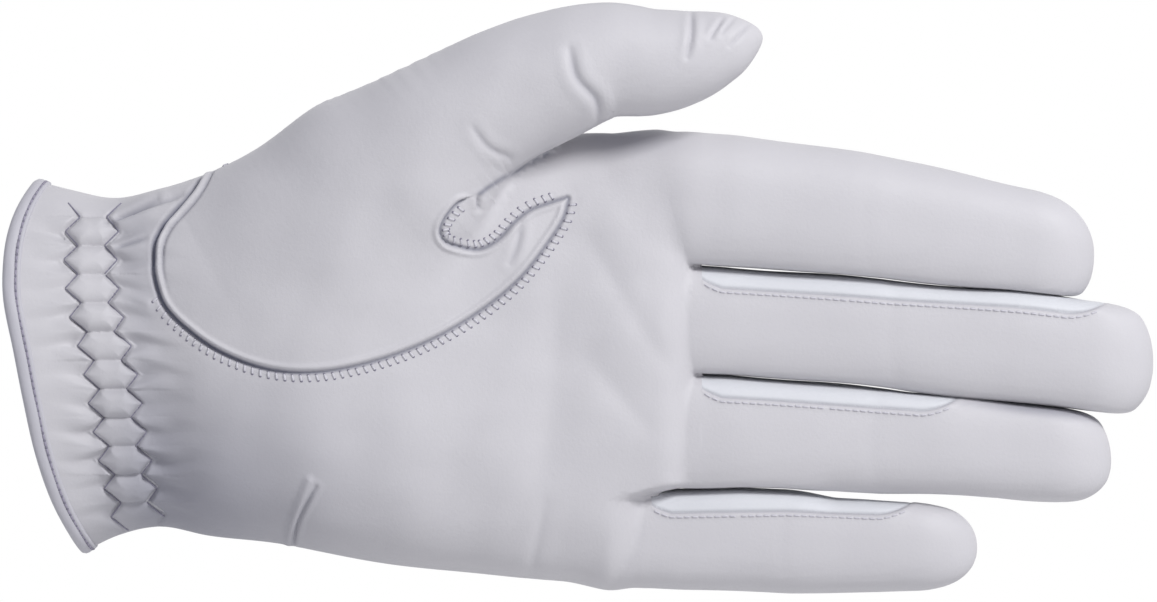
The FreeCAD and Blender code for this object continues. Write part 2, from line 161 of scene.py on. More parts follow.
# On the thumb side (1) and the outer side (-1): how much a neighbour flattens the finger, the same beside the
# little finger, and how round the edge of the flat is.
PRESS = {1: 3.0, -1: 1.6}
LITTLE_PRESS = {1: 3.2, -1: 1.8}
EDGE_ROUNDING = {1: 2.6, -1: 1.3}
LITTLE_GAP_OPENS = (151, 162)
# How far the gap below each finger lies above the line halfway between the two: x, rise.
GAP_RISE = {"index": ((148, 1.2), (171, 1.3), (189, 0.7), (205, 1.0)),
            "middle": ((150, 1.3), (158, 1.1), (175, 0.2), (198, 0.3)),
            "ring": ((134, 1.3), (142, 1.5), (160, 0.8), (170, 0.0))}


class Finger:
    """A tapered, slightly curved tube with a round tip, flat where it lies against its neighbours."""

    def __init__(self, name):
        shape = FINGER_SHAPES[name]
        self.name = name
        self.root = joint_mm(name + "_knuckle")[[0, 2]]
        self.start_x = self.root[0] + 0.2
        self.tip_x = box_mm(name + "_front_upper")[1][0]
        self.length = self.tip_x - self.root[0]
        self.slope, self.bend = shape["drop"]
        self.half_width = shape["half_width"]
        self.joint_x = joint_mm(name + "_bend")[0]
        self.neighbours = {}

    def centre_z(self, x):
        u = x - self.root[0]
        return self.root[1] + self.slope * np.maximum(u, -20) + self.bend * np.maximum(u, 0) ** 2

    def width(self, x):
        return np.interp((x - self.root[0]) / self.length, (0, 0.42, 0.7, 0.88), self.half_width)

    def depth(self, x):
        share = (x - self.root[0]) / self.length
        return self.width(x) * np.interp(share, (-0.1, 0.2, 1.0), (0.88, 0.84, 0.8))

    def press(self, x, side):
        """How much wider the finger would be if its neighbour did not flatten it; the last gap opens up."""
        if side not in self.neighbours:
            return 0.0 * x
        if "little" in (self.name, self.neighbours[side].name):
            return LITTLE_PRESS[side] * (1 - smooth_step(x, *LITTLE_GAP_OPENS))
        return PRESS[side] + 0.0 * x

    def side_z(self, x, side):
        """Where the finger's side lies: halfway to its neighbour, or at its own width."""
        own = self.centre_z(x) + side * self.width(x)
        other = self.neighbours.get(side)
        if other is None:
            return own
        upper = self if side < 0 else other
        rise = np.interp(x, *np.transpose(GAP_RISE[upper.name]))
        return (own + other.centre_z(x) - side * other.width(x)) / 2 + rise

    def thumb_wall(self, x):
        """Where the side that faces the thumb lies, and never beyond the finger's own width."""
        return np.minimum(self.side_z(x, 1), self.centre_z(x) + self.width(x))

    def __call__(self, p):
        x, depth = p[:, 0], self.depth(p[:, 0])
        off = p[:, 2] - self.centre_z(x)
        width = self.width(x) + np.where(off > 0, self.press(x, 1), self.press(x, -1))
        across = (np.abs(off) / width) ** SECTION_POWER + (np.abs(p[:, 1]) / depth) ** SECTION_POWER
        across = across ** (1 / SECTION_POWER)
        past = np.maximum(0, (x - self.tip_x + TIP_LENGTH) / TIP_LENGTH)
        value = ((across ** TIP_POWER + past ** TIP_POWER) ** (1 / TIP_POWER) - 1) * depth
        for side in self.neighbours:
            wall = side * (p[:, 2] - self.side_z(x, side) - GAP_SLANT * p[:, 1]) + FINGER_GAP
            value = -smooth_min(-value, -wall, EDGE_ROUNDING[side])
        return value


HAND_FINGERS = {name: Finger(name) for name in FINGERS}
for upper, lower in zip(FINGERS[:-1], FINGERS[1:]):
    HAND_FINGERS[upper].neighbours[-1] = HAND_FINGERS[lower]
    HAND_FINGERS[lower].neighbours[1] = HAND_FINGERS[upper]

# Outline of the hand without its thumb: x, edge on the thumb side, edge on the little-finger side,
# depth of the palm, depth of the back, and how square the section is.
HAND_OUTLINE = np.array([
    (-12, 38.5, -44.5, 23.0, 23.0, 2.1), (0, 36.6, -42.0, 20.5, 21.5, 2.1),
    (8, 34.6, -39.2, 18.8, 20.0, 2.2), (18, 32.6, -34.4, 16.8, 18.6, 2.2),
    (26, 33.0, -32.8, 16.8, 18.6, 2.2), (36, 34.2, -34.6, 19.2, 18.8, 2.3),
    (50, 36.0, -36.2, 20.8, 18.6, 2.4), (70, 40.0, -40.0, 19.4, 17.6, 2.5),
    (90, 43.0, -42.2, 16.6, 15.6, 2.5), (110, 45.8, -44.0, 13.6, 13.6, 2.5),
    (124, 45.4, -45.0, 12.0, 12.2, 2.5), (140, 45.4, -45.4, 10.5, 10.5, 2.5)])

HAND_LINE = curve_through(HAND_OUTLINE, 110)
HAND_ROUNDING = 9.0      # length over which the hand rounds off, inside the roots of the fingers

# Soft swells (+) and hollows (-) of the palm: x, z, height, reach.
PALM_SWELLS = ((56, -22, 1.6, 17), (98, 4, -1.6, 15), (122, 30, 0.9, 8), (121, 8, 0.8, 7), (121, -14, 0.8, 7),
               (112, -34, 1.2, 9), (60, 18, 1.0, 16), (88, -30, 0.8, 12))


def swell(p):
    """How far the palm stands out from its plain section."""
    height = np.zeros(len(p))
    for x, z, rise, reach in PALM_SWELLS:
        height += rise * np.exp(-((p[:, 0] - x) ** 2 + (p[:, 2] - z) ** 2) / (2 * reach ** 2))
    return height * smooth_step(-p[:, 1], 0, 8)


def hand_field(p):
    """The palm and back of the hand; it ends inside the roots of the fingers."""
    x, y = p[:, 0], p[:, 1] + swell(p)
    top, bottom, front, back, square = (np.interp(x, HAND_LINE[:, 0], HAND_LINE[:, k]) for k in range(1, 6))
    centre, half = (top + bottom) / 2, (top - bottom) / 2
    depth = np.where(y < 0, front, back)
    across = np.abs((p[:, 2] - centre) / half) ** square + np.abs(y / depth) ** square
    end = KNUCKLE_X - 1 - 10 * smooth_step(-p[:, 2], -NOTCH_Z - 3, -NOTCH_Z + 1)
    past = np.maximum(0, (x - end + HAND_ROUNDING) / HAND_ROUNDING)
    return ((across + past ** square) ** (1 / square) - 1) * depth


# Line of the thumb: x, z, half width, half depth, y.
THUMB_LINE = curve_through([
    (40, 14, 17.0, 11.0, -3), (56, 23.2, 20.0, 14.5, -6), (72, 34.6, 21.6, 16.0, -8),
    (88, 49.0, 14.4, 14.0, -10.5), (104, 56.6, 13.0, 12.2, -12.5), (115, 59.9, 11.5, 11.0, -13),
    (124, 59.6, 10.6, 10.0, -13), (131, 60.6, 9.4, 9.0, -13.2), (138, 62.6, 7.2, 7.4, -13.6),
    (146, 65.0, 3.4, 4.4, -13.8)], 80)
THUMB_ROUNDING = 7.0     # length of the thumb's rounded end
THUMB_POWER = 2.2        # how square that end is


def thumb_field(p):
    """The thumb, from inside the ball of the hand to its tip."""
    near = p[:, [0, 2]]
    path = THUMB_LINE[:, :2]
    best, where = nearest_on(path, near)
    step = np.arange(len(path))
    width, depth, y = (np.interp(where, step, THUMB_LINE[:, k]) for k in (2, 3, 4))
    last, before = path[-1], path[-2]
    along = (last - before) / np.hypot(*(last - before))
    to_tip = (near - last) @ along
    sideways = np.sqrt(np.maximum(best ** 2 - np.maximum(to_tip, 0) ** 2, 0))
    past = np.maximum(0, (to_tip + THUMB_ROUNDING) / THUMB_ROUNDING)
    across = np.sqrt((sideways / width) ** 2 + ((p[:, 1] - y) / depth) ** 2)
    rounded = (across ** THUMB_POWER + past ** THUMB_POWER) ** (1 / THUMB_POWER)
    return (rounded - 1) * np.minimum(width, depth)


# How widely the shapes melt into each other: finger roots, the palm's addition to that, the thumb, and the
# addition at the ball of the thumb.
FINGER_MELT, PALM_MELT, THUMB_MELT, BALL_MELT = 1.0, 1.8, 1.5, 9.0
ROOT_SINK = 0.014        # how fast a finger sinks into the hand behind its root
PALM_MELT_END = 118      # where the palm's wide melt begins to fade towards the knuckles
BALL_MELT_FADES = (64, 90)
THUMB_FROM_X, THUMB_FROM_Z = 10, -20     # the thumb is only worked out beyond these
FAR_AWAY = 50.0


def glove_field(p):
    """The hand, the roots of the fingers and the thumb as one skin."""
    value = None
    for finger in HAND_FINGERS.values():
        sunk = ROOT_SINK * np.maximum(0, finger.start_x - 1 - p[:, 0]) ** 2
        root = np.maximum(finger(p) + sunk, p[:, 0] - finger.start_x - 1.5)
        value = root if value is None else smooth_min(value, root, FINGER_MELT)
    melt = PALM_MELT * (1 - smooth_step(p[:, 0], PALM_MELT_END, KNUCKLE_X + 1)) + FINGER_MELT
    value = smooth_min(value, hand_field(p), melt)
    thumb = np.full(len(p), FAR_AWAY)
    near = (p[:, 0] > THUMB_FROM_X) & (p[:, 2] > THUMB_FROM_Z)
    thumb[near] = thumb_field(p[near])
    melt = BALL_MELT * (1 - smooth_step(p[:, 0], *BALL_MELT_FADES)) + THUMB_MELT
    return smooth_min(value, thumb, melt)


# ---------------------------------------------------------------- meshes as arrays

class Skin:
    """A triangle mesh: points, their normals and the triangles."""

    def __init__(self, co, normal, tri):
        self.co, self.normal, self.tri = co, normal, tri

    def part(self, keep):
        """The triangles that are kept, with their points renumbered."""
        tri = self.tri[keep]
        used, tri = np.unique(tri, return_inverse=True)
        return Skin(self.co[used], self.normal[used], tri.reshape(-1, 3))

    def split(self, value):
        """Cuts along value = 0. Returns the part below zero and the part above."""
        value = np.where(np.abs(value) < 1e-6, 1e-6, value)
        below = value < 0
        count = below[self.tri].sum(1)
        mixed = self.tri[(count == 1) | (count == 2)]
        lone_below = below[mixed].sum(1) == 1
        lone = np.argmax(below[mixed] == lone_below[:, None], axis=1)
        a, b, c = (np.take_along_axis(mixed, ((lone + k) % 3)[:, None], 1)[:, 0] for k in range(3))
        ends = np.sort(np.concatenate([np.stack([a, b], 1), np.stack([a, c], 1)]), axis=1)
        edges, index = np.unique(ends, axis=0, return_inverse=True)
        index = index.reshape(-1)
        v0, v1 = value[edges[:, 0]], value[edges[:, 1]]
        t = (v0 / (v0 - v1))[:, None]
        co = self.co[edges[:, 0]] * (1 - t) + self.co[edges[:, 1]] * t
        normal = self.normal[edges[:, 0]] * (1 - t) + self.normal[edges[:, 1]] * t
        normal /= np.linalg.norm(normal, axis=1, keepdims=True)
        whole = Skin(np.vstack([self.co, co]), np.vstack([self.normal, normal]), self.tri)
        ab, ac = len(self.co) + index[:len(a)], len(self.co) + index[len(a):]
        tip, base1, base2 = np.stack([a, ab, ac], 1), np.stack([ab, b, c], 1), np.stack([ab, c, ac], 1)
        base = np.vstack([base1, base2])
        base_below = ~np.concatenate([lone_below, lone_below])
        whole.tri = np.vstack([self.tri[count == 3], tip[lone_below], base[base_below],
                               self.tri[count == 0], tip[~lone_below], base[~base_below]])
        number = (count == 3).sum() + lone_below.sum() + base_below.sum()
        flags = np.arange(len(whole.tri)) < number
        return whole.part(flags), whole.part(~flags)

    def refine(self, near, longest):
        """Splits the edges longer than longest among the triangles near a feature, once."""
        tri = self.tri
        ends = np.sort(np.concatenate([tri[:, [0, 1]], tri[:, [1, 2]], tri[:, [2, 0]]]), axis=1)
        edges, index = np.unique(ends, axis=0, return_inverse=True)
        index = index.reshape(3, -1).T
        length = np.linalg.norm(self.co[edges[:, 0]] - self.co[edges[:, 1]], axis=1)
        cut = (length > longest) & near[edges].any(axis=1)
        number = np.full(len(edges), -1)
        number[cut] = len(self.co) + np.arange(cut.sum())
        co = np.vstack([self.co, self.co[edges[cut]].mean(1)])
        normal = np.vstack([self.normal, self.normal[edges[cut]].mean(1)])
        normal /= np.linalg.norm(normal, axis=1, keepdims=True)
        mids = number[index]
        cuts = (mids >= 0).sum(1)
        out = [tri[cuts == 0]]
        for n in (1, 2, 3):
            t, m = tri[cuts == n], mids[cuts == n]
            if n == 1:
                turn = np.argmax(m >= 0, axis=1)
            elif n == 2:
                turn = (np.argmax(m < 0, axis=1) + 1) % 3
            else:
                turn = np.zeros(len(t), int)
            a, b, c = (np.take_along_axis(t, ((turn + k) % 3)[:, None], 1)[:, 0] for k in range(3))
            ab, bc, ca = (np.take_along_axis(m, ((turn + k) % 3)[:, None], 1)[:, 0] for k in range(3))
            if n == 1:
                new = [(a, ab, c), (ab, b, c)]
            elif n == 2:
                new = [(ab, b, bc), (a, ab, bc), (a, bc, c)]
            else:
                new = [(a, ab, ca), (ab, b, bc), (ca, bc, c), (ab, bc, ca)]
            out += [np.stack(corner, 1) for corner in new]
        return Skin(co, normal, np.vstack(out))

    def smooth_normals(self):
        """Normals worked out again from the triangles."""
        corner = self.co[self.tri][..., :3]
        face = np.cross(corner[:, 1] - corner[:, 0], corner[:, 2] - corner[:, 0])
        total = np.zeros((len(self.co), 3))
        for k in range(3):
            for axis in range(3):
                total[:, axis] += np.bincount(self.tri[:, k], face[:, axis], len(self.co))
        self.normal = total / np.maximum(np.linalg.norm(total, axis=1, keepdims=True), 1e-12)


def gradient(field, co, step=0.05):
    out = np.empty_like(co)
    for k in range(3):
        d = np.zeros(3)
        d[k] = step
        out[:, k] = (field(co + d) - field(co - d)) / (2 * step)
    return out


def settle(field, co, turns=3):
    """Moves points onto the field's surface. Returns them with their outward normals."""
    for _ in range(turns):
        g = gradient(field, co)
        size = np.maximum((g ** 2).sum(1), 1e-4)
        step = (field(co) / size)[:, None] * g
        far = np.linalg.norm(step, axis=1, keepdims=True)
        co = co - step * np.minimum(1, 0.6 / np.maximum(far, 1e-9))
    g = gradient(field, co)
    return co, g / np.maximum(np.linalg.norm(g, axis=1, keepdims=True), 1e-9)


def skin_of(field, low, high):
    """Meshes the surface where the field is zero, inside a box."""
    low = np.array(low, float)
    counts = np.ceil((np.array(high) - low) / GRID).astype(int) + 1
    values = np.empty(counts, np.float32)
    steps = [low[k] + GRID * np.arange(counts[k]) for k in (1, 2)]
    y, z = np.meshgrid(*steps, indexing="ij")
    for i in range(counts[0]):
        slab = np.stack([np.full(y.size, low[0] + GRID * i), y.ravel(), z.ravel()], 1)
        values[i] = field(slab).reshape(y.shape)
    grid = openvdb.FloatGrid(background=3.0)
    grid.copyFromArray(np.clip(values, -3, 3))
    points, quads = grid.convertToQuads(0.0)
    tri = np.vstack([quads[:, [0, 1, 2]], quads[:, [0, 2, 3]]]).astype(int)
    co, normal = settle(field, low + points.astype(float) * GRID)
    return Skin(co, normal, tri)


# ---------------------------------------------------------------- objects

def mesh_object(name, co, faces, normals=None):
    """An object from points in millimetres; normals are one for each corner of a face."""
    mesh = bpy.data.meshes.new(name)
    mesh.vertices.add(len(co))
    mesh.vertices.foreach_set("co", (np.asarray(co) * MM).astype(np.float32).ravel())
    if isinstance(faces, list):
        sizes, corners = np.array([len(face) for face in faces]), np.concatenate(faces)
    else:
        sizes, corners = np.full(len(faces), faces.shape[1]), faces.ravel()
    mesh.loops.add(len(corners))
    mesh.loops.foreach_set("vertex_index", corners.astype(np.int32))
    mesh.polygons.add(len(sizes))
    mesh.polygons.foreach_set("loop_start", np.concatenate([[0], np.cumsum(sizes)[:-1]]).astype(np.int32))
    mesh.update(calc_edges=True)
    mesh.validate()
    mesh.polygons.foreach_set("use_smooth", np.ones(len(mesh.polygons), bool))
    if normals is not None:
        mesh.normals_split_custom_set(normals.astype(np.float32))
    else:
        shape = bmesh.new()
        shape.from_mesh(mesh)
        bmesh.ops.recalc_face_normals(shape, faces=shape.faces)
        shape.to_mesh(mesh)
        shape.free()
    obj = bpy.data.objects.new(name, mesh)
    bpy.context.collection.objects.link(obj)
    return obj


def leather_object(name, skin):
    """Gives a skin its thickness, inwards, and closes its edges."""
    n = len(skin.co)
    outer, tone = skin.co[:, :3], skin.co[:, 3]
    inner = outer - skin.normal * LEATHER
    tri = skin.tri
    edges = np.concatenate([tri[:, [0, 1]], tri[:, [1, 2]], tri[:, [2, 0]]])
    key = np.sort(edges, axis=1) @ np.array([n, 1])
    _, index, count = np.unique(key, return_inverse=True, return_counts=True)
    rim = edges[count[index.reshape(-1)] == 1]
    a, b = rim[:, 0], rim[:, 1]
    rim_tri = np.vstack([np.stack([b, a, a + n], 1), np.stack([b, a + n, b + n], 1)])
    co = np.vstack([outer, inner])
    tris = np.vstack([tri, tri[:, ::-1] + n, rim_tri])
    corner = co[rim_tri]
    flat = np.cross(corner[:, 1] - corner[:, 0], corner[:, 2] - corner[:, 0])
    flat /= np.maximum(np.linalg.norm(flat, axis=1, keepdims=True), 1e-12)
    normals = np.vstack([skin.normal[tri].reshape(-1, 3), -skin.normal[tri[:, ::-1]].reshape(-1, 3),
                         np.repeat(flat, 3, axis=0)])
    obj = mesh_object(name, co, tris, normals)
    # the painted shade of each point, for the leather's material
    attribute = obj.data.attributes.new("tone", "FLOAT", "POINT")
    attribute.data.foreach_set("value", np.concatenate([tone, tone]).astype(np.float32))
    return obj


# ---------------------------------------------------------------- lines on the glove, as x and z

# Edge of the cuff, from the thumb side to the little-finger side.
MOUTH = curve_through([(4, 44), (0.3, 37.2), (-2.8, 31), (-4.4, 25), (-4.9, 18), (-4.6, 12.4), (-2.6, 2.6),
                       (-0.6, -7.8), (1.6, -18.2), (4.6, -27.8), (9.8, -39), (13, -47)], 60)
MOUTH_SHIFT = 1.7
# Edge of the thumb panel on the palm: round the ball of the thumb, and back along the tongue of the palm.
SEAM_ROUND = curve_through([
    (38, 46), (34, 35.4), (27, 26.2), (26, 20), (28, 12), (34, 6), (41, 1.8), (50, -1), (60, -1.2),
    (74, 2.2), (86.5, 8.2), (97, 16.2), (103.6, 24.4), (106.4, 29), (107.4, 32.6)], 110)
POCKET = (90.5, 33.4)
SEAM_TONGUE = curve_through([
    (107.4, 32.6), (104.4, 31.6), (100, 29.9), (97, 27.4), (94, 24.2), (90.5, 22.3), (86.5, 22.5),
    (83.2, 23.8), (82.2, 25.9), (83, 28.4), (86, 31.7), POCKET], 70)
THUMB_CREASE = curve_through([POCKET, (95, 36.7), (101, 40.2), (108.5, 44.2), (114, 47.6)], 24)
SEAM = np.vstack([SEAM_ROUND, SEAM_TONGUE[1:]])
BEYOND_THUMB = [(150, 52), (150, 90), (20, 90)]      # closes the panels' outlines outside the glove
FRONT_PANEL = np.vstack([SEAM, THUMB_CREASE[1:], BEYOND_THUMB])
BACK_SEAM = curve_through([(34, 36), (52, 33), (74, 35), (96, 42), (114, 47.6)], 40)
BACK_PANEL = np.vstack([BACK_SEAM, BEYOND_THUMB])

# Middle of the elastic band: z, x. Two zigzags run along it, mirrored, and make a row of six-sided puffs.
ELASTIC_LINE = np.array([
    (-46, 24.5), (-30, 22.0), (-25, 21.0), (-19.8, 20.2), (-14.4, 19.3), (-8.6, 18.4), (-3, 17.6),
    (3.2, 16.3), (9, 14.7), (14.8, 13.7), (20.5, 13.2), (29, 13.4), (46, 14.0)])
PUFF_PITCH, PUFF_START = 5.68, 20.5
PUFF_HALF, PUFF_SPREAD = 3.9, 1.35       # half a puff's width, and how much its edge swings out and in

# Folds of the soft leather: points, depth of the fold, and its width.
FOLDS = [
    ([(108, 61.6), (109.4, 56), (113.2, 51.6), (113.8, 48)], 0.5, 1.4),
    ([(132, 69.6), (131.8, 64), (131, 60.2)], 0.4, 0.9),
    ([(89, 46.2), (92, 42.4), (96, 40.6)], 0.3, 1.1),
    ([(90.2, 32.6), (90.3, 30.2)], 0.6, 0.7),
    ([(98.4, 27.8), (97.4, 22.8), (96, 19.8)], 0.35, 1.0),
    ([(112, 24.2), (119, 12.2), (124, 4.2), (130, -3.2)], 0.3, 4.0),
    ([(132.4, 32.2), (135, 26.2), (135.4, 22.2)], 0.3, 1.8),
    ([(137.4, 10.8), (138, 4.8), (140, -0.2)], 0.5, 1.1),
    ([(100, -42.2), (103, -27.8)], 0.2, 1.8),
    ([(112, 0.2), (124, -13.8)], 0.2, 3.5),
    ([(104.5, 16), (105, 0), (102, -24)], 0.3, 5.0),
    ([(126, -27.8), (117, -43.2)], 0.5, 2.4),
    ([(138, 67.8), (135.6, 64)], 0.3, 0.7),
    ([(143, 66.6), (139.4, 62.4)], 0.3, 0.7),
    ([(140.4, 68), (137.6, 64.8)], 0.2, 0.6),
    ([(16, 27.4), (26, 32.4)], 0.6, 1.0),
    ([(18.5, 28.8), (31, 33.4)], 0.5, 0.9),
    ([(18, 22.6), (24, 24.6)], 0.5, 0.9),
    ([(52.8, -37.2), (54.4, -31), (58, -24.2)], 0.5, 0.6),
]
FOLD_SHADE = 0.5          # painted shade at the bottom of a narrow fold: how dark it is
# Ridges: points, height and width.
RIDGES = [([(51.2, -38.2), (53.2, -31), (56.6, -23)], 0.6, 0.9), ([(20, 14), (24.6, 12)], 0.4, 1.0)]


def inside(outline, points):
    """Which 2-D points lie inside a closed outline."""
    result = np.zeros(len(points), bool)
    for a, b in zip(outline, np.roll(outline, -1, axis=0)):
        crosses = (a[1] > points[:, 1]) != (b[1] > points[:, 1])
        at = a[0] + (points[:, 1] - a[1]) / (b[1] - a[1] if b[1] != a[1] else 1e-9) * (b[0] - a[0])
        result ^= crosses & (points[:, 0] < at)
    return result


def outline_value(outline, points):
    """Distance to a closed outline, positive inside."""
    distance = nearest_on(np.vstack([outline, outline[:1]]), points)[0]
    return np.where(inside(outline, points), distance, -distance)


def mouth_x(z):
    return MOUTH_SHIFT + np.interp(-z, -MOUTH[:, 1], MOUTH[:, 0])


def elastic_x(z):
    return np.interp(z, ELASTIC_LINE[:, 0], ELASTIC_LINE[:, 1])


def middle_y(x):
    """Where the front of the glove turns into its back: the thumb lies further forward."""
    return -13 * smooth_step(x, 40, 108)


def bump(distance, width):
    return np.exp(-(distance / width) ** 2)


def wave_noise(p, scale, seed):
    """Soft random values between about -1 and 1, from a few crossed waves."""
    rng = np.random.default_rng(seed)
    total = np.zeros(len(p))
    for _ in range(5):
        direction = rng.normal(size=p.shape[1])
        direction /= np.linalg.norm(direction)
        total += np.sin(p @ direction * (2 * math.pi / scale) * rng.uniform(0.6, 1.5) + rng.uniform(0, 6.3))
    return total / 2.6


def elastic_relief(x, z):
    """Puffs between the two zigzags, and the gathers on both sides of them."""
    cell = (z - PUFF_START) / PUFF_PITCH
    near_cell = cell - np.round(cell)
    spread = 1 - 2 * np.abs(near_cell) * 2
    edge = PUFF_HALF + PUFF_SPREAD * spread
    off = x - elastic_x(z)
    rank = np.round(cell)
    strength = 0.8 + 0.35 * np.sin(rank * 2.3)
    puff = 1.7 * strength * (1 - np.minimum(1, np.maximum(np.abs(off) / edge, np.abs(near_cell) * 2)) ** 2.6)
    thread = -0.7 * bump(np.abs(off) - edge, 0.45)
    beyond = np.maximum(np.abs(off) - edge, 0)
    phase = cell + 0.12 * np.sin(beyond * 0.5 + rank)
    gather = 0.85 * (0.9 + 0.4 * np.sin(rank * 1.7 + (off > 0))) * -np.cos(2 * math.pi * phase)
    reach = np.where(off > 0, 6.0, 4.6)
    gather *= np.exp(-(beyond / reach) ** 1.4) * smooth_step(beyond, 0, 1.2)
    ends = smooth_step(z, -36, -28) * smooth_step(-z, -33, -27)
    return (puff + thread + gather - 0.35 * bump(np.maximum(np.abs(off) - 3, 0), 4)) * ends


def seam_relief(flat):
    """Height beside the thumb seam: a raised edge, the groove, and a roll round the ball; and the shade
    painted into the groove and under the roll.
    """
    distance = nearest_on(SEAM, flat)[0]
    distance += 3 * bump(np.hypot(flat[:, 0] - POCKET[0], flat[:, 1] - POCKET[1]), 2.2)
    off = np.where(inside(FRONT_PANEL, flat), -distance, distance)
    left = smooth_step(-flat[:, 0], -62, -34)
    rolled = left * smooth_step(flat[:, 1], 12, 24)
    height = 0.45 * bump(off + 0.7, 0.5) - (0.55 + 0.4 * left) * bump(off - 0.35, 0.38 + 0.12 * left)
    height -= 0.5 * rolled * bump(off + 1.6, 0.35) + 0.10 * bump(off - 1.6, 1.3)
    # painted shade in the seam's groove and under the rolled edge
    tone = 0.5 * rolled * bump(off + 1.6, 0.28) + (0.75 + 0.25 * left) * bump(off - 0.35, 0.34 + 0.1 * left)
    return height, tone


def fold_relief(flat):
    """Height of the folds and ridges, and the shade painted at the bottom of narrow folds."""
    height, tone = np.zeros(len(flat)), np.zeros(len(flat))
    for points, depth, width in FOLDS:
        line = curve_through(points, 16)
        distance, place = nearest_on(line, flat)
        lengths = np.concatenate([[0], np.cumsum(np.hypot(*np.diff(line, axis=0).T))])
        share = np.interp(place, np.arange(len(line)), lengths) / lengths[-1]
        fade = np.clip(1.25 * np.sin(math.pi * np.clip(0.12 + 0.76 * share, 0, 1)), 0, 1)
        height += fade * depth * (0.45 * bump(distance - 1.5 * width, width) - bump(distance, 0.6 * width))
        tone += FOLD_SHADE * fade * depth * bump(distance, 0.45 * width) * (width < 1.5)
    for points, rise, width in RIDGES:
        height += rise * bump(nearest_on(curve_through(points, 12), flat)[0], width)
    return height, tone


def hand_relief(p, normal):
    """How far the leather of the hand stands out from its soft shape, and how much shade is painted on it."""
    flat = p[:, [0, 2]]
    front = smooth_step(-normal[:, 1], -0.05, 0.35)
    height = np.zeros(len(p))
    cuff = (p[:, 0] < 48) & (front > 0)
    height[cuff] += elastic_relief(p[cuff, 0], p[cuff, 2])
    seam_height, seam_shade = seam_relief(flat)
    fold_height, fold_shade = fold_relief(flat)
    # painted shadow that the thumb casts on the root of the index finger
    thumb_shadow = bump(flat[:, 0] - 117, 10) * smooth_step(flat[:, 1], 39.5, 46.5)
    tone = seam_shade + fold_shade + 0.6 * thumb_shadow * smooth_step(p[:, 1], -17, -12)
    # painted shade along the crease where the thumb lies over the palm
    tone += 0.7 * bump(nearest_on(THUMB_CREASE[:16], flat)[0], 0.5)
    height += seam_height + fold_height
    height += wave_noise(flat, 26, 4) * 0.22 + wave_noise(flat, 11, 9) * 0.05
    knuckles = np.where(p[:, 2] < NOTCH_Z, LITTLE_KNUCKLE_X, KNUCKLE_X)
    before_fingers = np.maximum(smooth_step(knuckles - p[:, 0], 0.3, 9), smooth_step(p[:, 2], 47, 52))
    return height * front * before_fingers, np.clip(tone, 0, 1) * front


class Surface:
    """A finished skin that rays are cast on, from the front or the back."""

    def __init__(self, skin):
        self.tree = BVHTree.FromPolygons(skin.co[:, :3].tolist(), skin.tri.tolist())

    def at(self, x, z, side=-1):
        """Point and outward normal of the skin where a line along Y meets it."""
        hit, normal, _, _ = self.tree.ray_cast(Vector((x, 60.0 * side, z)), Vector((0, -side, 0)))
        if hit is None:
            hit, normal, _, _ = self.tree.find_nearest(Vector((x, 6.0 * side, z)))
        if normal.y * side < 0:
            normal = -normal
        return np.array(hit), np.array(normal)


def along_line(line, pitch, start=0.0):
    """Points at equal steps along a 2-D line, with the direction there."""
    step = np.hypot(*np.diff(line, axis=0).T)
    length = np.concatenate([[0], np.cumsum(step)])
    at = np.arange(start, length[-1], pitch)
    points = np.stack([np.interp(at, length, line[:, k]) for k in (0, 1)], 1)
    ahead = np.stack([np.interp(np.minimum(at + 0.4, length[-1]), length, line[:, k]) for k in (0, 1)], 1)
    behind = np.stack([np.interp(np.maximum(at - 0.4, 0), length, line[:, k]) for k in (0, 1)], 1)
    way = ahead - behind
    return points, way / np.maximum(np.hypot(*way.T)[:, None], 1e-9)


END_LENGTH, END_RADIUS = 0.6, 0.45       # the rounded end of a thread, as shares of its radius


def tube(points, radius, sides=8):
    """Vertices and faces of a round tube with closed, rounded ends."""
    points = np.asarray(points, float)
    way = np.gradient(points, axis=0)
    way /= np.maximum(np.linalg.norm(way, axis=1, keepdims=True), 1e-9)
    extra = END_LENGTH * radius
    points = np.vstack([points[0] - way[0] * extra, points, points[-1] + way[-1] * extra])
    way = np.vstack([way[:1], way, way[-1:]])
    size = np.full(len(points), radius)
    size[[0, -1]] *= END_RADIUS
    up = np.tile([0.0, 0.0, 1.0], (len(points), 1))
    up[np.abs(way[:, 2]) > 0.9] = (1.0, 0.0, 0.0)
    side = np.cross(way, up)
    side /= np.maximum(np.linalg.norm(side, axis=1, keepdims=True), 1e-9)
    top = np.cross(side, way)
    angle = np.arange(sides) * 2 * math.pi / sides
    ring = (np.cos(angle)[None, :, None] * side[:, None] + np.sin(angle)[None, :, None] * top[:, None])
    co = (points[:, None] + ring * size[:, None, None]).reshape(-1, 3)
    faces = []
    for k in range(len(points) - 1):
        for s in range(sides):
            t = (s + 1) % sides
            faces.append([k * sides + s, k * sides + t, (k + 1) * sides + t, (k + 1) * sides + s])
    faces.append(list(range(sides))[::-1])
    faces.append([(len(points) - 1) * sides + s for s in range(sides)])
    return co, faces


def joined(shapes):
    """Several (vertices, faces) pairs as one."""
    co, faces, start = [], [], 0
    for points, polygons in shapes:
        co.append(points)
        faces += [np.array(f) + start for f in polygons]
        start += len(points)
    return np.vstack(co), faces


def stitch(surface, a, b, radius, side=-1, sink=0.35):
    """One stitch between two (x, z) points on a surface."""
    points = []
    for t in np.linspace(0, 1, 4):
        hit, normal = surface.at(a[0] + (b[0] - a[0]) * t, a[1] + (b[1] - a[1]) * t, side)
        points.append(hit + normal * (radius * sink))
    return tube(points, radius)


def thread_object(name, shapes):
    co, faces = joined(shapes)
    return mesh_object(name, co, faces)


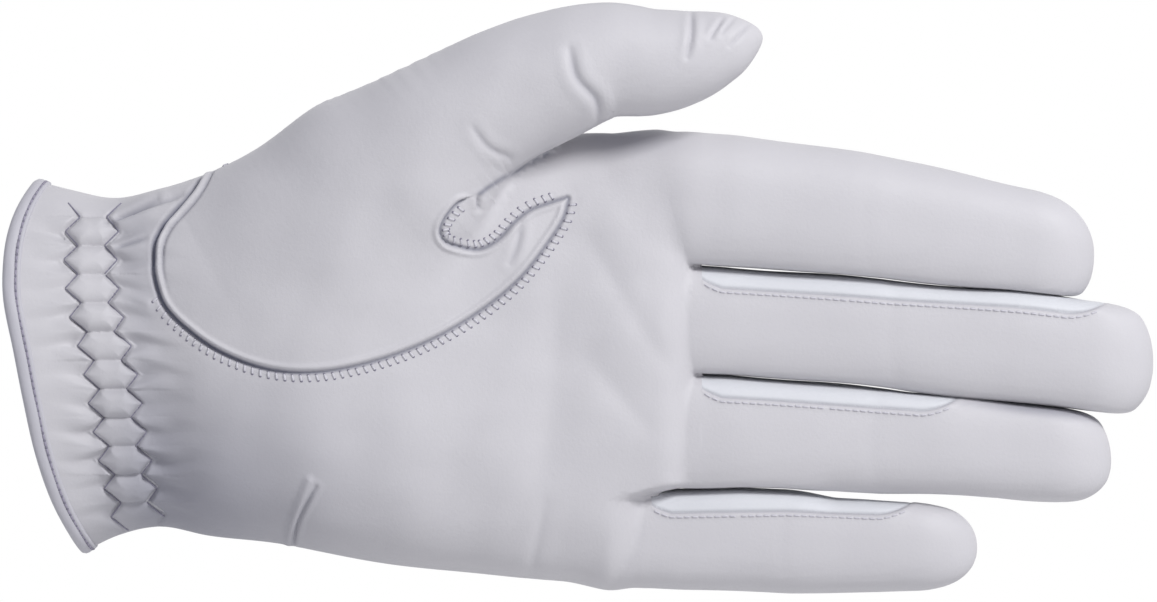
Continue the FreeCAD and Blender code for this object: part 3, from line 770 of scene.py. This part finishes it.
def sheet_object(name, rings):
    """A skin over closed rings of equally many points, capped at the first ring and the last."""
    count = len(rings[0])
    faces = []
    for k in range(len(rings) - 1):
        for s in range(count):
            t = (s + 1) % count
            faces.append([k * count + s, (k + 1) * count + s, (k + 1) * count + t, k * count + t])
    faces.append(list(range(count)))
    faces.append([(len(rings) - 1) * count + s for s in range(count)][::-1])
    return mesh_object(name, np.vstack([np.asarray(ring) for ring in rings]), faces)


# ---------------------------------------------------------------- materials

def node_material(name, roughness, specular, sheen=0.0):
    """A plain Principled material, with its node tree and shader."""
    material = bpy.data.materials.new(name)
    material.use_nodes = True
    shader = material.node_tree.nodes["Principled BSDF"]
    shader.inputs["Roughness"].default_value = roughness
    shader.inputs["Specular IOR Level"].default_value = specular
    shader.inputs["Sheen Weight"].default_value = sheen
    return material, material.node_tree, shader


def add_bump(tree, shader, height, strength, distance):
    node = tree.nodes.new("ShaderNodeBump")
    node.inputs["Strength"].default_value = strength
    node.inputs["Distance"].default_value = distance
    tree.links.new(height, node.inputs["Height"])
    tree.links.new(node.outputs["Normal"], shader.inputs["Normal"])


def noise(tree, scale, detail=3.0, roughness=0.5):
    where = tree.nodes.new("ShaderNodeTexCoord")
    node = tree.nodes.new("ShaderNodeTexNoise")
    node.inputs["Scale"].default_value = scale
    node.inputs["Detail"].default_value = detail
    node.inputs["Roughness"].default_value = roughness
    tree.links.new(where.outputs["Object"], node.inputs["Vector"])
    return node.outputs["Fac"]


def mix_colour(tree, factor, a, b):
    """A mix of two colours; each is a socket or plain numbers."""
    node = tree.nodes.new("ShaderNodeMix")
    node.data_type = "RGBA"
    tree.links.new(factor, node.inputs["Factor"])
    for socket, value in ((node.inputs["A"], a), (node.inputs["B"], b)):
        if isinstance(value, tuple):
            socket.default_value = (*value, 1)
        else:
            tree.links.new(value, socket)
    return node.outputs["Result"]


def leather_material(name, light, dark, shade_colour):
    """Soft matt leather: slightly cloudy, fine grained, and darkened where shade is painted into its per-point
    attribute.
    """
    material, tree, shader = node_material(name, 0.55, 0.35, 0.08)
    cloudy = mix_colour(tree, noise(tree, 60), dark, light)
    tone = tree.nodes.new("ShaderNodeAttribute")
    tone.attribute_name = "tone"
    tree.links.new(mix_colour(tree, tone.outputs["Fac"], cloudy, shade_colour), shader.inputs["Base Color"])
    grain = noise(tree, 1500, 4.0, 0.62)
    add_bump(tree, shader, grain, 0.22, 0.00025)
    return material


def plain_material(name, colour, roughness, grain_scale, grain, sheen):
    material, tree, shader = node_material(name, roughness, 0.3, sheen)
    darker = tuple(0.8 * c for c in colour)
    fine = noise(tree, grain_scale)
    tree.links.new(mix_colour(tree, fine, darker, colour), shader.inputs["Base Color"])
    add_bump(tree, shader, fine, grain, 0.0003)
    return material


MATERIALS = {
    "leather": leather_material("leather", (0.57, 0.56, 0.585), (0.52, 0.51, 0.535), (0.15, 0.155, 0.21)),
    "gusset_leather": leather_material(
        "gusset_leather", (0.64, 0.65, 0.68), (0.58, 0.59, 0.625), (0.13, 0.13, 0.16)),
    "binding_leather": leather_material(
        "binding_leather", (0.52, 0.51, 0.55), (0.46, 0.455, 0.50), (0.2, 0.2, 0.25)),
}
# Plain materials: name, colour, roughness, how fine the grain is, how deep it is, and its sheen.
for look in (("thread", (0.62, 0.61, 0.66), 0.6, 3000, 0.3, 0.0),
             ("zigzag_thread", (0.27, 0.26, 0.33), 0.7, 3000, 0.3, 0.0),
             ("hem_thread", (0.34, 0.32, 0.40), 0.7, 3000, 0.3, 0.0),
             # painted shade: dark dots that stand for the shade inside the needle holes
             ("needle_hole", (0.24, 0.23, 0.29), 0.9, 2000, 0.2, 0.0),
             ("elastic", (0.55, 0.55, 0.58), 0.85, 1800, 0.5, 0.2),
             ("loop_fabric", (0.6, 0.6, 0.62), 0.95, 2600, 1.0, 0.6),
             ("hook_plastic", (0.62, 0.62, 0.64), 0.4, 2200, 1.0, 0.0),
             ("tab_cloth", (0.5, 0.5, 0.52), 0.8, 1500, 0.4, 0.0),
             ("label_cloth", (0.66, 0.66, 0.66), 0.8, 2200, 0.3, 0.0)):
    MATERIALS[look[0]] = plain_material(*look)


def finish(obj, slot_name, nodes=(), material=None):
    """Gives a piece its material in a new slot, and hides the CAD nodes it stands for."""
    obj.data.materials.append(MATERIALS[material or slot_name])
    if nodes:
        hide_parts(*nodes)
    return obj


def leather_piece(node, skin, slot_name="leather"):
    """A piece of leather that stands for one CAD node."""
    return finish(leather_object("skin_" + node, skin), slot_name, [node])


# ---------------------------------------------------------------- hand and thumb

EDGE_STEPS = (0.75, 0.5)      # edges longer than these are split near a feature, once for each value
SEAM_REACH = 3.5              # how far from the thumb seam the skin is made finer
FINE_CUFF_X, FINE_FRONT_X = 34, 150


def fine_skin(skin, field, near_feature):
    """Splits the long edges near a feature, and settles the new points."""
    for longest in EDGE_STEPS:
        skin = skin.refine(near_feature(skin), longest)
    skin.co, skin.normal = settle(field, skin.co, 1)
    return skin


def with_relief(skin, rise, tone):
    """Moves a skin out by its relief, and keeps the painted shade beside its points."""
    skin.co = np.column_stack([skin.co + skin.normal * rise[:, None], tone])
    skin.smooth_normals()
    return skin


def near_hand_feature(skin):
    """Points of the palm side by the seam, in the cuff, or by a fold."""
    flat = skin.co[:, [0, 2]]
    front = (skin.normal[:, 1] < 0.25) & (skin.co[:, 0] < FINE_FRONT_X)
    near = front & (skin.co[:, 0] < FINE_CUFF_X)
    rest = np.flatnonzero(front & ~near)
    close = nearest_on(SEAM[::2], flat[rest])[0] < SEAM_REACH
    for points, _, width in FOLDS + RIDGES:
        close |= nearest_on(np.array(points), flat[rest])[0] < 2.2 * width + 0.6
    near[rest] = close
    return near


def heel_shade(x, z):
    """The heel and the gathers beside the elastic look greyer in the photo; that shade is painted in here."""
    off = np.where(x < 27, (x - 27) / 12, (x - 27) / 32)
    heel = 0.6 * np.exp(-off ** 2) * smooth_step(-z, -8, 30)
    gathers = 0.22 * bump(x - 24 + 0.08 * z, 5) * smooth_step(z, -34, 6) * smooth_step(-z, -36, -26)
    return heel + gathers


hand_skin = skin_of(glove_field, (-12, -32, -50), (KNUCKLE_X + 16, 30, 76))
hand_skin = fine_skin(hand_skin, glove_field, near_hand_feature)
rise, tone = hand_relief(hand_skin.co, hand_skin.normal)
tone = np.clip(tone + heel_shade(hand_skin.co[:, 0], hand_skin.co[:, 2]), 0, 1)
hand_skin = with_relief(hand_skin, rise, tone)
surface = Surface(hand_skin)

SLIT_Z = joint_mm("tab_hinge")[2] - 14.15      # the slit runs beside the hinge of the tab
SLIT_HALF = 2.5
SLIT_END = 67.5
CUFF_CUT = 0.8           # how far inside the mouth's edge the leather stops; the hem covers it
SEAM_TURN = 1.5          # half the depth over which the front seam passes into the back seam
PALM_BACK_Y = 0.4        # depth at which the palm panel meets the back panel
THUMB_START, THUMB_SPLIT, THUMB_FLOOR = 113.3, 124.5, 46.8


def co_of(skin):
    return skin.co[:, 0], skin.co[:, 1], skin.co[:, 2]


x, y, z = co_of(hand_skin)
_, cuffed = hand_skin.split(x - mouth_x(z) - CUFF_CUT)
x, y, z = co_of(cuffed)
past_knuckles = np.maximum(x - KNUCKLE_X, np.minimum(x - LITTLE_KNUCKLE_X, NOTCH_Z - z))
below_thumb = z < THUMB_FLOOR
whole, _ = cuffed.split(np.where(below_thumb, past_knuckles, np.minimum(past_knuckles, -1.0)))
x, y, z = co_of(whole)
palm_and_back, thumb = whole.split(np.minimum(x - THUMB_START, z - THUMB_FLOOR))

x, y, z = co_of(palm_and_back)
flat = np.stack([x, z], 1)
turn = smooth_step(y - middle_y(x), -SEAM_TURN, SEAM_TURN)
value = outline_value(FRONT_PANEL, flat) * (1 - turn) + outline_value(BACK_PANEL, flat) * turn
hand_panels, thumb_panel = palm_and_back.split(value)
palm_panel, back_panel = hand_panels.split(hand_panels.co[:, 1] - PALM_BACK_Y)
x, y, z = co_of(back_panel)
_, back_panel = back_panel.split(np.hypot(np.maximum(x - SLIT_END, 0), z - SLIT_Z) - SLIT_HALF)
for node, panel in (("palm_panel", palm_panel), ("back_panel", back_panel), ("thumb_panel", thumb_panel)):
    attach(leather_piece(node, panel), "hand")

thumb_root, thumb_end = thumb.split(thumb.co[:, 0] - THUMB_SPLIT)
piece = leather_piece("thumb_lower", thumb_root)
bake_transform(piece)
piece = leather_piece("thumb_upper", thumb_end)
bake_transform(piece)


# ---------------------------------------------------------------- fingers

GUSSET = {"index": (-1,), "middle": (1, -1), "ring": (1, -1), "little": (1,)}
SIDE_NAMES = {1: "thumb_side", -1: "outer_side"}
SEAM_INSET = 3.4         # reach of a strip that faces the thumb, and half the height of one that faces away
STRIP_END = {"index": 6, "middle": 9, "ring": 30, "little": 12}     # distance from the fingertip
STRIP_TAPER = 9          # half the length over which a strip narrows at its end
STRIP_START = 4.5        # length over which it widens at the root
THREAD_INSET, THREAD_PITCH, THREAD_STITCH = 0.85, 1.5, 0.95
THREAD_STOP = 3          # the stitches stop this far before the strip's end
MIDDLE_CUT = 12          # the skin is cut this far behind the middle joint
# painted shadow that the middle finger casts on the ring fingertip's side
RING_SHADE = 0.5         # the dark wedge that the photo shows beside the ring fingertip, painted in


def strip_end_x(finger):
    return finger.tip_x - STRIP_END[finger.name]


def strip_height(finger, x):
    """Height of the side strip that faces the thumb; it narrows to nothing at the root and at the tip."""
    from_root = np.sqrt(np.clip((x - finger.start_x + 0.6) / STRIP_START, 0, 1))
    end_x = strip_end_x(finger)
    return SEAM_INSET * (0.2 + 0.8 * from_root - 2 * smooth_step(x, end_x - STRIP_TAPER, end_x + STRIP_TAPER))


def seam_off(finger, p, side):
    """How far a point lies beyond the seam of a side strip; the strip narrows to nothing at the tip."""
    x, y, z = p[:, 0], p[:, 1], p[:, 2]
    if side < 0:
        height = SEAM_INSET - 4.5 * smooth_step(x, finger.tip_x - 26, finger.tip_x - 6)
        return np.minimum(height - np.abs(y), finger.centre_z(x) - z - 0.5 * finger.width(x))
    return z - finger.thumb_wall(x) + strip_height(finger, x)


def finger_relief(finger, p, normal):
    """Seams along the sides, soft waves, and the shade painted in the seams and beside the ring fingertip."""
    x, z = p[:, 0], p[:, 2]
    height, tone = np.zeros(len(p)), np.zeros(len(p))
    start, end_x = finger.start_x, strip_end_x(finger)
    for side in GUSSET[finger.name]:
        off = seam_off(finger, p, side)
        seam = 0.18 * bump(off + 0.75, 0.6) - 0.4 * bump(off - 0.1, 0.34) - 0.12 * smooth_step(off, 0.2, 0.8)
        shown = 1 - smooth_step(x, end_x - 4, end_x + 1) if side > 0 else 1
        height += shown * seam
        # painted shade in the seam's groove
        tone += 0.4 * shown * bump(off - 0.1, 0.26)
    fade = smooth_step(x, start, start + 8)
    wave = wave_noise(p, 30, 11 + len(finger.name)) * 0.2 * fade
    across = (z - finger.centre_z(x)) / finger.width(x)
    crease = finger.joint_x - 4
    wave -= 0.08 * bump(x - crease - 2 * across ** 2, 1.6) * smooth_step(-normal[:, 1], 0, 0.5)
    if finger.name == "ring":
        # painted shadow of the middle finger on the ring fingertip's side
        beside = smooth_step(z - finger.side_z(x, 1), -3.4, -0.8) * smooth_step(p[:, 1], 6, 0)
        tone += RING_SHADE * beside * smooth_step(x, 180, 200) * smooth_step(normal[:, 2], -0.1, 0.4)
    return height * smooth_step(x, start - 2, start + 3) + wave, np.clip(tone, 0, 1)


def near_finger_seam(finger):
    def near(skin):
        found = np.zeros(len(skin.co), bool)
        for side in GUSSET[finger.name]:
            found |= np.abs(seam_off(finger, skin.co, side)) < 1.8
        return found
    return near


def finger_thread(finger, surface_of, level, x_from, x_to):
    """The row of stitches beside each seam that faces the thumb, on the front and the back."""
    shapes = []
    x_from, x_to = max(x_from, finger.start_x + 0.6), min(x_to, strip_end_x(finger) - THREAD_STOP)
    for side_y in (-1, 1):
        for at in np.arange(x_from, x_to, THREAD_PITCH):
            ends = np.array([at, at + THREAD_STITCH])
            rows = finger.thumb_wall(ends) - strip_height(finger, ends) - THREAD_INSET
            shapes.append(stitch(surface_of, (ends[0], rows[0]), (ends[1], rows[1]), 0.2, side_y, 0.15))
    return thread_object(f"thread_{finger.name}_{level}", shapes)


def finger_skin(finger):
    """The whole skin of a finger, with its relief, from a little inside the hand to the tip."""
    low_z = min(finger.centre_z(np.array([finger.tip_x]))[0], finger.root[1]) - 15
    skin = skin_of(finger, (finger.start_x - 3, -14, low_z), (finger.tip_x + 2, 14, finger.root[1] + 16))
    skin = fine_skin(skin, finger, near_finger_seam(finger))
    return with_relief(skin, *finger_relief(finger, skin.co, skin.normal))


for finger in HAND_FINGERS.values():
    start, middle_x = finger.start_x, finger.joint_x - MIDDLE_CUT
    skin = finger_skin(finger)
    finger_surface = Surface(skin)
    _, skin = skin.split(skin.co[:, 0] - start)
    lower, upper = skin.split(skin.co[:, 0] - middle_x)
    spans = {"lower": (start, middle_x - 1), "upper": (middle_x, finger.tip_x)}
    for level, part in (("lower", lower), ("upper", upper)):
        strips = {}
        for side in GUSSET[finger.name]:
            part, strips[side] = part.split(seam_off(finger, part.co, side))
        front, back = part.split(part.co[:, 1])
        pieces = [(f"{finger.name}_front_{level}", front, "leather"),
                  (f"{finger.name}_back_{level}", back, "leather")]
        pieces += [(f"{finger.name}_gusset_{SIDE_NAMES[side]}_{level}", strip, "gusset_leather")
                   for side, strip in strips.items()]
        for node, strip, slot_name in pieces:
            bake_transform(leather_piece(node, strip, slot_name))
        if 1 in GUSSET[finger.name]:
            piece = finish(finger_thread(finger, finger_surface, level, *spans[level]), "thread")
            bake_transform(piece)


# ---------------------------------------------------------------- seam and cuff threads

SEAM_PITCH = 1.55
HOLE_NEAR, HOLE_FAR = 0.8, 2.0           # distance of the two rows of holes from the seam
HOLE_LEAN = 0.35                         # how far the outer hole lies ahead
HOLE_HALF, HOLE_RADIUS, BAR_RADIUS = 0.12, 0.26, 0.24
ROLLED_X, ROLLED_Z = 37, 13              # the rolled seam round the thumb's ball hides its stitches


def turned_bars(name, line):
    """Two rows of needle holes on the right of a line, with a short bar of thread over each pair."""
    places, way = along_line(line, SEAM_PITCH, 0.6)
    right = np.stack([way[:, 1], -way[:, 0]], 1)
    bars, holes = [], []
    for place, ahead, aside in zip(places, way, right):
        near, far = place + aside * HOLE_NEAR, place + aside * HOLE_FAR + ahead * HOLE_LEAN
        if near[1] > ROLLED_Z and near[0] < ROLLED_X:
            continue
        across = (far - near) * 0.12
        bars.append(stitch(surface, near + across, far - across, BAR_RADIUS, -1, 0.1))
        # each needle hole is a dark tube sunk into the leather, its shade painted
        for hole in (near, far):
            half = ahead * HOLE_HALF
            holes.append(stitch(surface, hole - half, hole + half, HOLE_RADIUS, -1, -0.35))
    return thread_object(name + "_bars", bars), thread_object(name + "_holes", holes)


for name, line in (("seam_round", SEAM_ROUND), ("seam_tongue", SEAM_TONGUE[4:-4])):
    bars, holes = turned_bars(name, line)
    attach(finish(bars, "thread", ["thumb_seam_thread"]), "hand")
    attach(finish(holes, "thread", material="needle_hole"), "hand")

ZIGZAG_STARTS, ZIGZAG_STITCH = (0.03, 0.35, 0.67), 0.29      # three stitches on each leg, as shares of it
ZIGZAG_RADIUS = 0.17

zigzags = []
for mirror in (-1, 1):
    corners = []
    for half in np.arange(-18 - (mirror < 0), 5) / 2:
        z_at = PUFF_START + PUFF_PITCH * half
        swing = PUFF_SPREAD if half == round(half) else -PUFF_SPREAD
        corners.append((elastic_x(z_at) + mirror * (PUFF_HALF + swing), z_at))
    for a, b in zip(np.array(corners[:-1]), np.array(corners[1:])):
        for begin in ZIGZAG_STARTS:
            ends = a + (b - a) * begin, a + (b - a) * (begin + ZIGZAG_STITCH)
            zigzags.append(stitch(surface, *ends, ZIGZAG_RADIUS, -1, 0.0))
piece = thread_object("elastic_zigzags", zigzags)
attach(finish(piece, "thread", ["elastic_thread"], "zigzag_thread"), "hand")


# ---------------------------------------------------------------- hem, elastic and slit

def around(x_of_z, angles):
    """Points and normals where rays from beside the slit meet the cuff's skin, at a given x for each z."""
    low, high = np.full(len(angles), 4.0), np.full(len(angles), 70.0)
    for _ in range(30):
        reach = (low + high) / 2
        y, z = np.cos(angles) * reach, SLIT_Z + np.sin(angles) * reach
        outside = glove_field(np.stack([x_of_z(z), y, z], 1)) > 0
        low, high = np.where(outside, low, reach), np.where(outside, reach, high)
    y, z = np.cos(angles) * low, SLIT_Z + np.sin(angles) * low
    points = np.stack([x_of_z(z), y, z], 1)
    normals = gradient(glove_field, points)
    return points, normals / np.linalg.norm(normals, axis=1, keepdims=True)


def cuff_ring(name, x_of_z, profile, gap, count, ripple=0.0):
    """A band around the cuff, open at the slit. Its profile is pairs of distance from x_of_z and height."""
    angles = np.linspace(gap, 2 * math.pi - gap, count)
    columns = []
    for inset, height in profile:
        points, normals = around(lambda z, inset=inset: x_of_z(z) + inset, angles)
        wave = ripple * wave_noise(points, 9, 21)[:, None] if height > 0.2 else 0.0
        columns.append(points + normals * (height + wave))
    return sheet_object(name, list(np.stack(columns, 1)))


HEM_PROFILE = [(3.0, -0.15), (2.9, 0.35), (2.4, 0.5), (2.0, 0.28), (1.6, 0.52), (0.9, 0.6), (0.2, 0.5),
               (-0.35, 0.1), (-0.5, -0.4), (-0.35, -0.95), (0.2, -1.3), (1.5, -1.35), (2.7, -1.3),
               (3.0, -0.9)]
piece = cuff_ring("hem_band", mouth_x, HEM_PROFILE, 0.15, 420, 0.08)
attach(finish(piece, "binding_leather", ["hem_binding"]), "hand")

HEM_ROW = 1.95                           # distance of the stitches from the mouth's edge
HEM_PITCH, HEM_STITCH = 1.5, 0.75
hem_angles = np.linspace(0.2, 2 * math.pi - 0.2, 4000)
hem_row, hem_normals = around(lambda z: mouth_x(z) + HEM_ROW, hem_angles)
lengths = np.concatenate([[0], np.cumsum(np.linalg.norm(np.diff(hem_row, axis=0), axis=1))])
stitches, holes = [], []
for begin in np.arange(0.5, lengths[-1] - 2, HEM_PITCH):
    picked = np.searchsorted(lengths, begin + np.linspace(0, HEM_STITCH, 4))
    stitches.append(tube(hem_row[picked] + hem_normals[picked] * 0.3, 0.3))
    # a dark tube beside each stitch: the painted shade of its needle hole
    picked = np.searchsorted(lengths, begin + HEM_STITCH + np.array([0.25, 0.5]))
    holes.append(tube(hem_row[picked] + hem_normals[picked] * 0.25, 0.34))
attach(finish(thread_object("hem_stitches", stitches), "thread", ["hem_thread"], "hem_thread"), "hand")
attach(finish(thread_object("hem_holes", holes), "thread", material="needle_hole"), "hand")

ELASTIC_PROFILE = [(-5.2, -1.0), (0, -0.95), (5.2, -1.0), (5.4, -1.4), (5.2, -1.9), (0, -2.0), (-5.2, -1.9),
                   (-5.4, -1.4)]
piece = cuff_ring("elastic_band", elastic_x, ELASTIC_PROFILE, 0.22, 240)
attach(finish(piece, "elastic", ["wrist_elastic"]), "hand")

mouth_at_slit = float(mouth_x(SLIT_Z)) + 1.2
slit_path = [(x, SLIT_Z + SLIT_HALF) for x in np.linspace(mouth_at_slit, SLIT_END, 90)[:-1]]
slit_path += [(SLIT_END + SLIT_HALF * math.sin(t), SLIT_Z + SLIT_HALF * math.cos(t))
              for t in np.linspace(0, math.pi, 24)]
slit_path += [(x, SLIT_Z - SLIT_HALF) for x in np.linspace(SLIT_END, mouth_at_slit, 90)[1:]]
slit_path = np.array(slit_path)
SLIT_PROFILE = [(-0.15, -0.9), (-0.45, -0.3), (-0.35, 0.35), (0.2, 0.75), (1.0, 0.8), (1.9, 0.7), (2.3, 0.35),
                (2.35, -0.1), (1.2, -0.2), (0.3, -1.0)]
rings = []
for k, (px, pz) in enumerate(slit_path):
    ahead = slit_path[min(k + 1, len(slit_path) - 1)] - slit_path[max(k - 1, 0)]
    out = np.array([-ahead[1], ahead[0]]) / np.hypot(*ahead)
    ring = []
    for reach, height in SLIT_PROFILE:
        hit, normal = surface.at(px + out[0] * reach, pz + out[1] * reach, 1)
        ring.append(hit + normal * height)
    rings.append(ring)
piece = sheet_object("slit_edge", rings)
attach(finish(piece, "binding_leather", ["slit_binding"]), "hand")


# ---------------------------------------------------------------- closure and label

def rounded_box(low_x, low_z, high_x, high_z, radius, step=1.2):
    """Outline of a rectangle with round corners, anticlockwise in x and z."""
    outline = []
    for cx, cz, turn in ((high_x - radius, low_z + radius, -90), (high_x - radius, high_z - radius, 0),
                         (low_x + radius, high_z - radius, 90), (low_x + radius, low_z + radius, 180)):
        for angle in np.radians(np.linspace(turn, turn + 90, max(3, int(radius * 1.6)))):
            outline.append((cx + radius * math.cos(angle), cz + radius * math.sin(angle)))
    return along_line(np.array(outline + outline[:1]), step)[0]


# Rings of a plate from the middle of its underside to the middle of its top: size, and share of the height.
PLATE_SIZES = (0.03, 0.3, 0.55, 0.75, 0.9)
PLATE_RINGS = [(size, 0) for size in (*PLATE_SIZES, 0.97)]
PLATE_RINGS += [(1.0, 0.25), (1.0, 0.75), (0.985, 0.93), (0.96, 1)]
PLATE_RINGS += [(size, 1) for size in PLATE_SIZES[::-1]]


def plate(name, outline, low, high):
    """A plate on the back of the hand, between two heights; the upper one may be a function of z."""
    high_at = high if callable(high) else (lambda z: high)
    middle = outline.mean(0)
    rings = []
    for size, share in PLATE_RINGS:
        ring = []
        for px, pz in middle + (outline - middle) * size:
            hit, normal = surface.at(px, pz, 1)
            ring.append(hit + normal * (low * (1 - share) + high_at(pz) * share))
        rings.append(ring)
    return sheet_object(name, rings)


TAB_PITCH, TAB_STITCH, TAB_THREAD = 2.0, 1.4, 0.2
TAB_ROW = 1.9            # distance of the stitches from the tab's edge
THREAD_LIFT = 0.05       # how far the middle of a thread lies above the leather


def tab_stitch(start, way, height):
    """One stitch at a height above the back of the hand."""
    points = []
    for share in (0, 0.5, 1):
        hit, normal = surface.at(*(start + way * (TAB_STITCH * share)), 1)
        points.append(hit + normal * (height + THREAD_LIFT))
    return tube(points, TAB_THREAD)


TAB_X, HINGE_Z = joint_mm("tab_hinge")[0], joint_mm("tab_hinge")[2]
tab_low, tab_high = box_mm("tab_leather")
TAB_HALF = (tab_high[0] - tab_low[0]) / 2 - 0.2
FREE_Z = tab_low[2]
LEFT, RIGHT = TAB_X - TAB_HALF, TAB_X + TAB_HALF
SEWN_Z = box_mm("tab_sewn_end")[1][2]
# Heights of the closure's layers above the back: the pads and the tab lie on each other.
SUNK, LOOP_TOP, HOOK_LOW, CLOTH_LOW, LEATHER_LOW, TAB_TOP = -0.2, 1.1, 1.25, 2.35, 2.9, 3.7

low, high = box_mm("loop_pad")
loop_outline = rounded_box(low[0], low[2], high[0], high[2], 3)
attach(finish(plate("loop_patch", loop_outline, SUNK, LOOP_TOP), "loop_fabric", ["loop_pad"]), "hand")

low, high = box_mm("hook_pad")
hook_outline = rounded_box(low[0], low[2] + 0.5, high[0], high[2], 6)
piece = finish(plate("hook_patch", hook_outline, HOOK_LOW, CLOTH_LOW), "hook_plastic", ["hook_pad"])
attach(piece, "tab")

free_end = [(TAB_X + TAB_HALF * math.cos(t), FREE_Z + TAB_HALF + TAB_HALF * math.sin(t))
            for t in np.linspace(math.pi, 2 * math.pi, 30)]
tab_outline = along_line(np.array(free_end + [(RIGHT, HINGE_Z), (LEFT, HINGE_Z), free_end[0]]), 0.9)[0]
piece = finish(plate("tab_cloth_side", tab_outline, CLOTH_LOW, LEATHER_LOW), "tab_cloth", ["tab_lining"])
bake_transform(piece)
piece = finish(plate("tab_leather_side", tab_outline, LEATHER_LOW, TAB_TOP), "leather", ["tab_leather"])
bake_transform(piece)


def sewn_height(z):
    """The top of the sewn end slopes down from the tab to the leather of the back."""
    return TAB_TOP - 2.4 * smooth_step(z, HINGE_Z + 1, SEWN_Z - 2)


sewn_outline = rounded_box(LEFT, HINGE_Z, RIGHT, SEWN_Z, 0.8, 0.9)
piece = finish(plate("tab_root", sewn_outline, SUNK, sewn_height), "leather", ["tab_sewn_end"])
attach(piece, "hand")

stitches = []
for place, ahead in zip(*along_line(np.vstack([tab_outline, tab_outline[:1]]), TAB_PITCH)):
    place = place + np.array([-ahead[1], ahead[0]]) * TAB_ROW
    if place[1] < HINGE_Z - 1.6:
        stitches.append(tab_stitch(place - ahead * (TAB_STITCH / 2), ahead, TAB_TOP))
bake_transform(finish(thread_object("tab_stitches", stitches), "thread"))

stitches = []
for row_z in (SEWN_Z - 1.8, SEWN_Z - 4.2):
    for px in np.arange(LEFT + 2, RIGHT - 2.5, TAB_PITCH):
        stitches.append(tab_stitch(np.array([px, row_z]), np.array([1, 0]), float(sewn_height(row_z))))
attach(finish(thread_object("tab_root_stitches", stitches), "thread"), "hand")

low, high = box_mm("size_label")
label_outline = rounded_box(low[0] + 0.5, low[2] + 0.5, high[0] - 0.5, high[2] - 0.5, 0.8)
piece = plate("inner_label", label_outline, -1.25, -0.95)
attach(finish(piece, "label_cloth", ["size_label"]), "hand")


# ---------------------------------------------------------------- light, floor and camera

centre = [(a + b) / 2 for a, b in zip(*CAD_BOUNDS)]
length = CAD_BOUNDS[1][0] - CAD_BOUNDS[0][0]
FLOOR_Z, FLOOR_HALF = -0.12, 1.2
floor_corners = [(x * FLOOR_HALF, y * FLOOR_HALF, FLOOR_Z) for x, y in ((-1, -1), (1, -1), (1, 1), (-1, 1))]
floor = mesh_object("floor", np.array(floor_corners) / MM, np.array([(0, 1, 2, 3)]))
pale, _, pale_shader = node_material("floor", 0.9, 0.1)
pale_shader.inputs["Base Color"].default_value = (0.8, 0.8, 0.8, 1)
floor.data.materials.append(pale)

# A white backdrop behind the glove, a softer, cooler room in front of it, and bluer light from the low left.
WHITE, ROOM, LOW_LEFT = (1.0, 1.0, 1.0), (0.42, 0.425, 0.462), (0.28, 0.36, 0.64)
world = bpy.data.worlds.new("studio")
world.use_nodes = True
nodes, links = world.node_tree.nodes, world.node_tree.links
where, axes = nodes.new("ShaderNodeTexCoord"), nodes.new("ShaderNodeSeparateXYZ")
links.new(where.outputs["Generated"], axes.inputs["Vector"])


def world_ramp(value, start, end):
    """A share that goes from 0 to 1 as a value goes from start to end."""
    ramp = nodes.new("ShaderNodeMapRange")
    ramp.inputs["From Min"].default_value = start
    ramp.inputs["From Max"].default_value = end
    links.new(value, ramp.inputs["Value"])
    return ramp.outputs["Result"]


right_and_up = nodes.new("ShaderNodeMath")
links.new(axes.outputs["X"], right_and_up.inputs[0])
links.new(axes.outputs["Z"], right_and_up.inputs[1])
blue = world_ramp(right_and_up.outputs["Value"], -0.75, -1.3)
room = mix_colour(world.node_tree, blue, ROOM, LOW_LEFT)
colour = mix_colour(world.node_tree, world_ramp(axes.outputs["Y"], 0.1, 0.85), room, WHITE)
links.new(colour, nodes["Background"].inputs["Color"])
bpy.context.scene.world = world
bpy.context.scene.view_settings.view_transform = "Standard"

key = bpy.data.lights.new("key_light", "AREA")
key.energy, key.size = 7.5, 0.25
key_object = bpy.data.objects.new("key_light", key)
bpy.context.collection.objects.link(key_object)
key_object.location = (0.62, -0.62, 0.60)
key_object.rotation_euler = (Vector(centre) - key_object.location).to_track_quat("-Z", "Y").to_euler()

CAMERA_DISTANCE = 1.2
PICTURE_WIDTH = 1.0087 * length      # the photo is a little wider than the glove
camera = bpy.data.cameras.new("camera")
camera.sensor_width = 36
camera.lens = camera.sensor_width * CAMERA_DISTANCE / PICTURE_WIDTH
camera_object = bpy.data.objects.new("camera", camera)
bpy.context.collection.objects.link(camera_object)
camera_object.location = (centre[0], -CAMERA_DISTANCE, centre[2])
camera_object.rotation_euler = (math.pi / 2, 0, 0)
bpy.context.scene.camera = camera_object
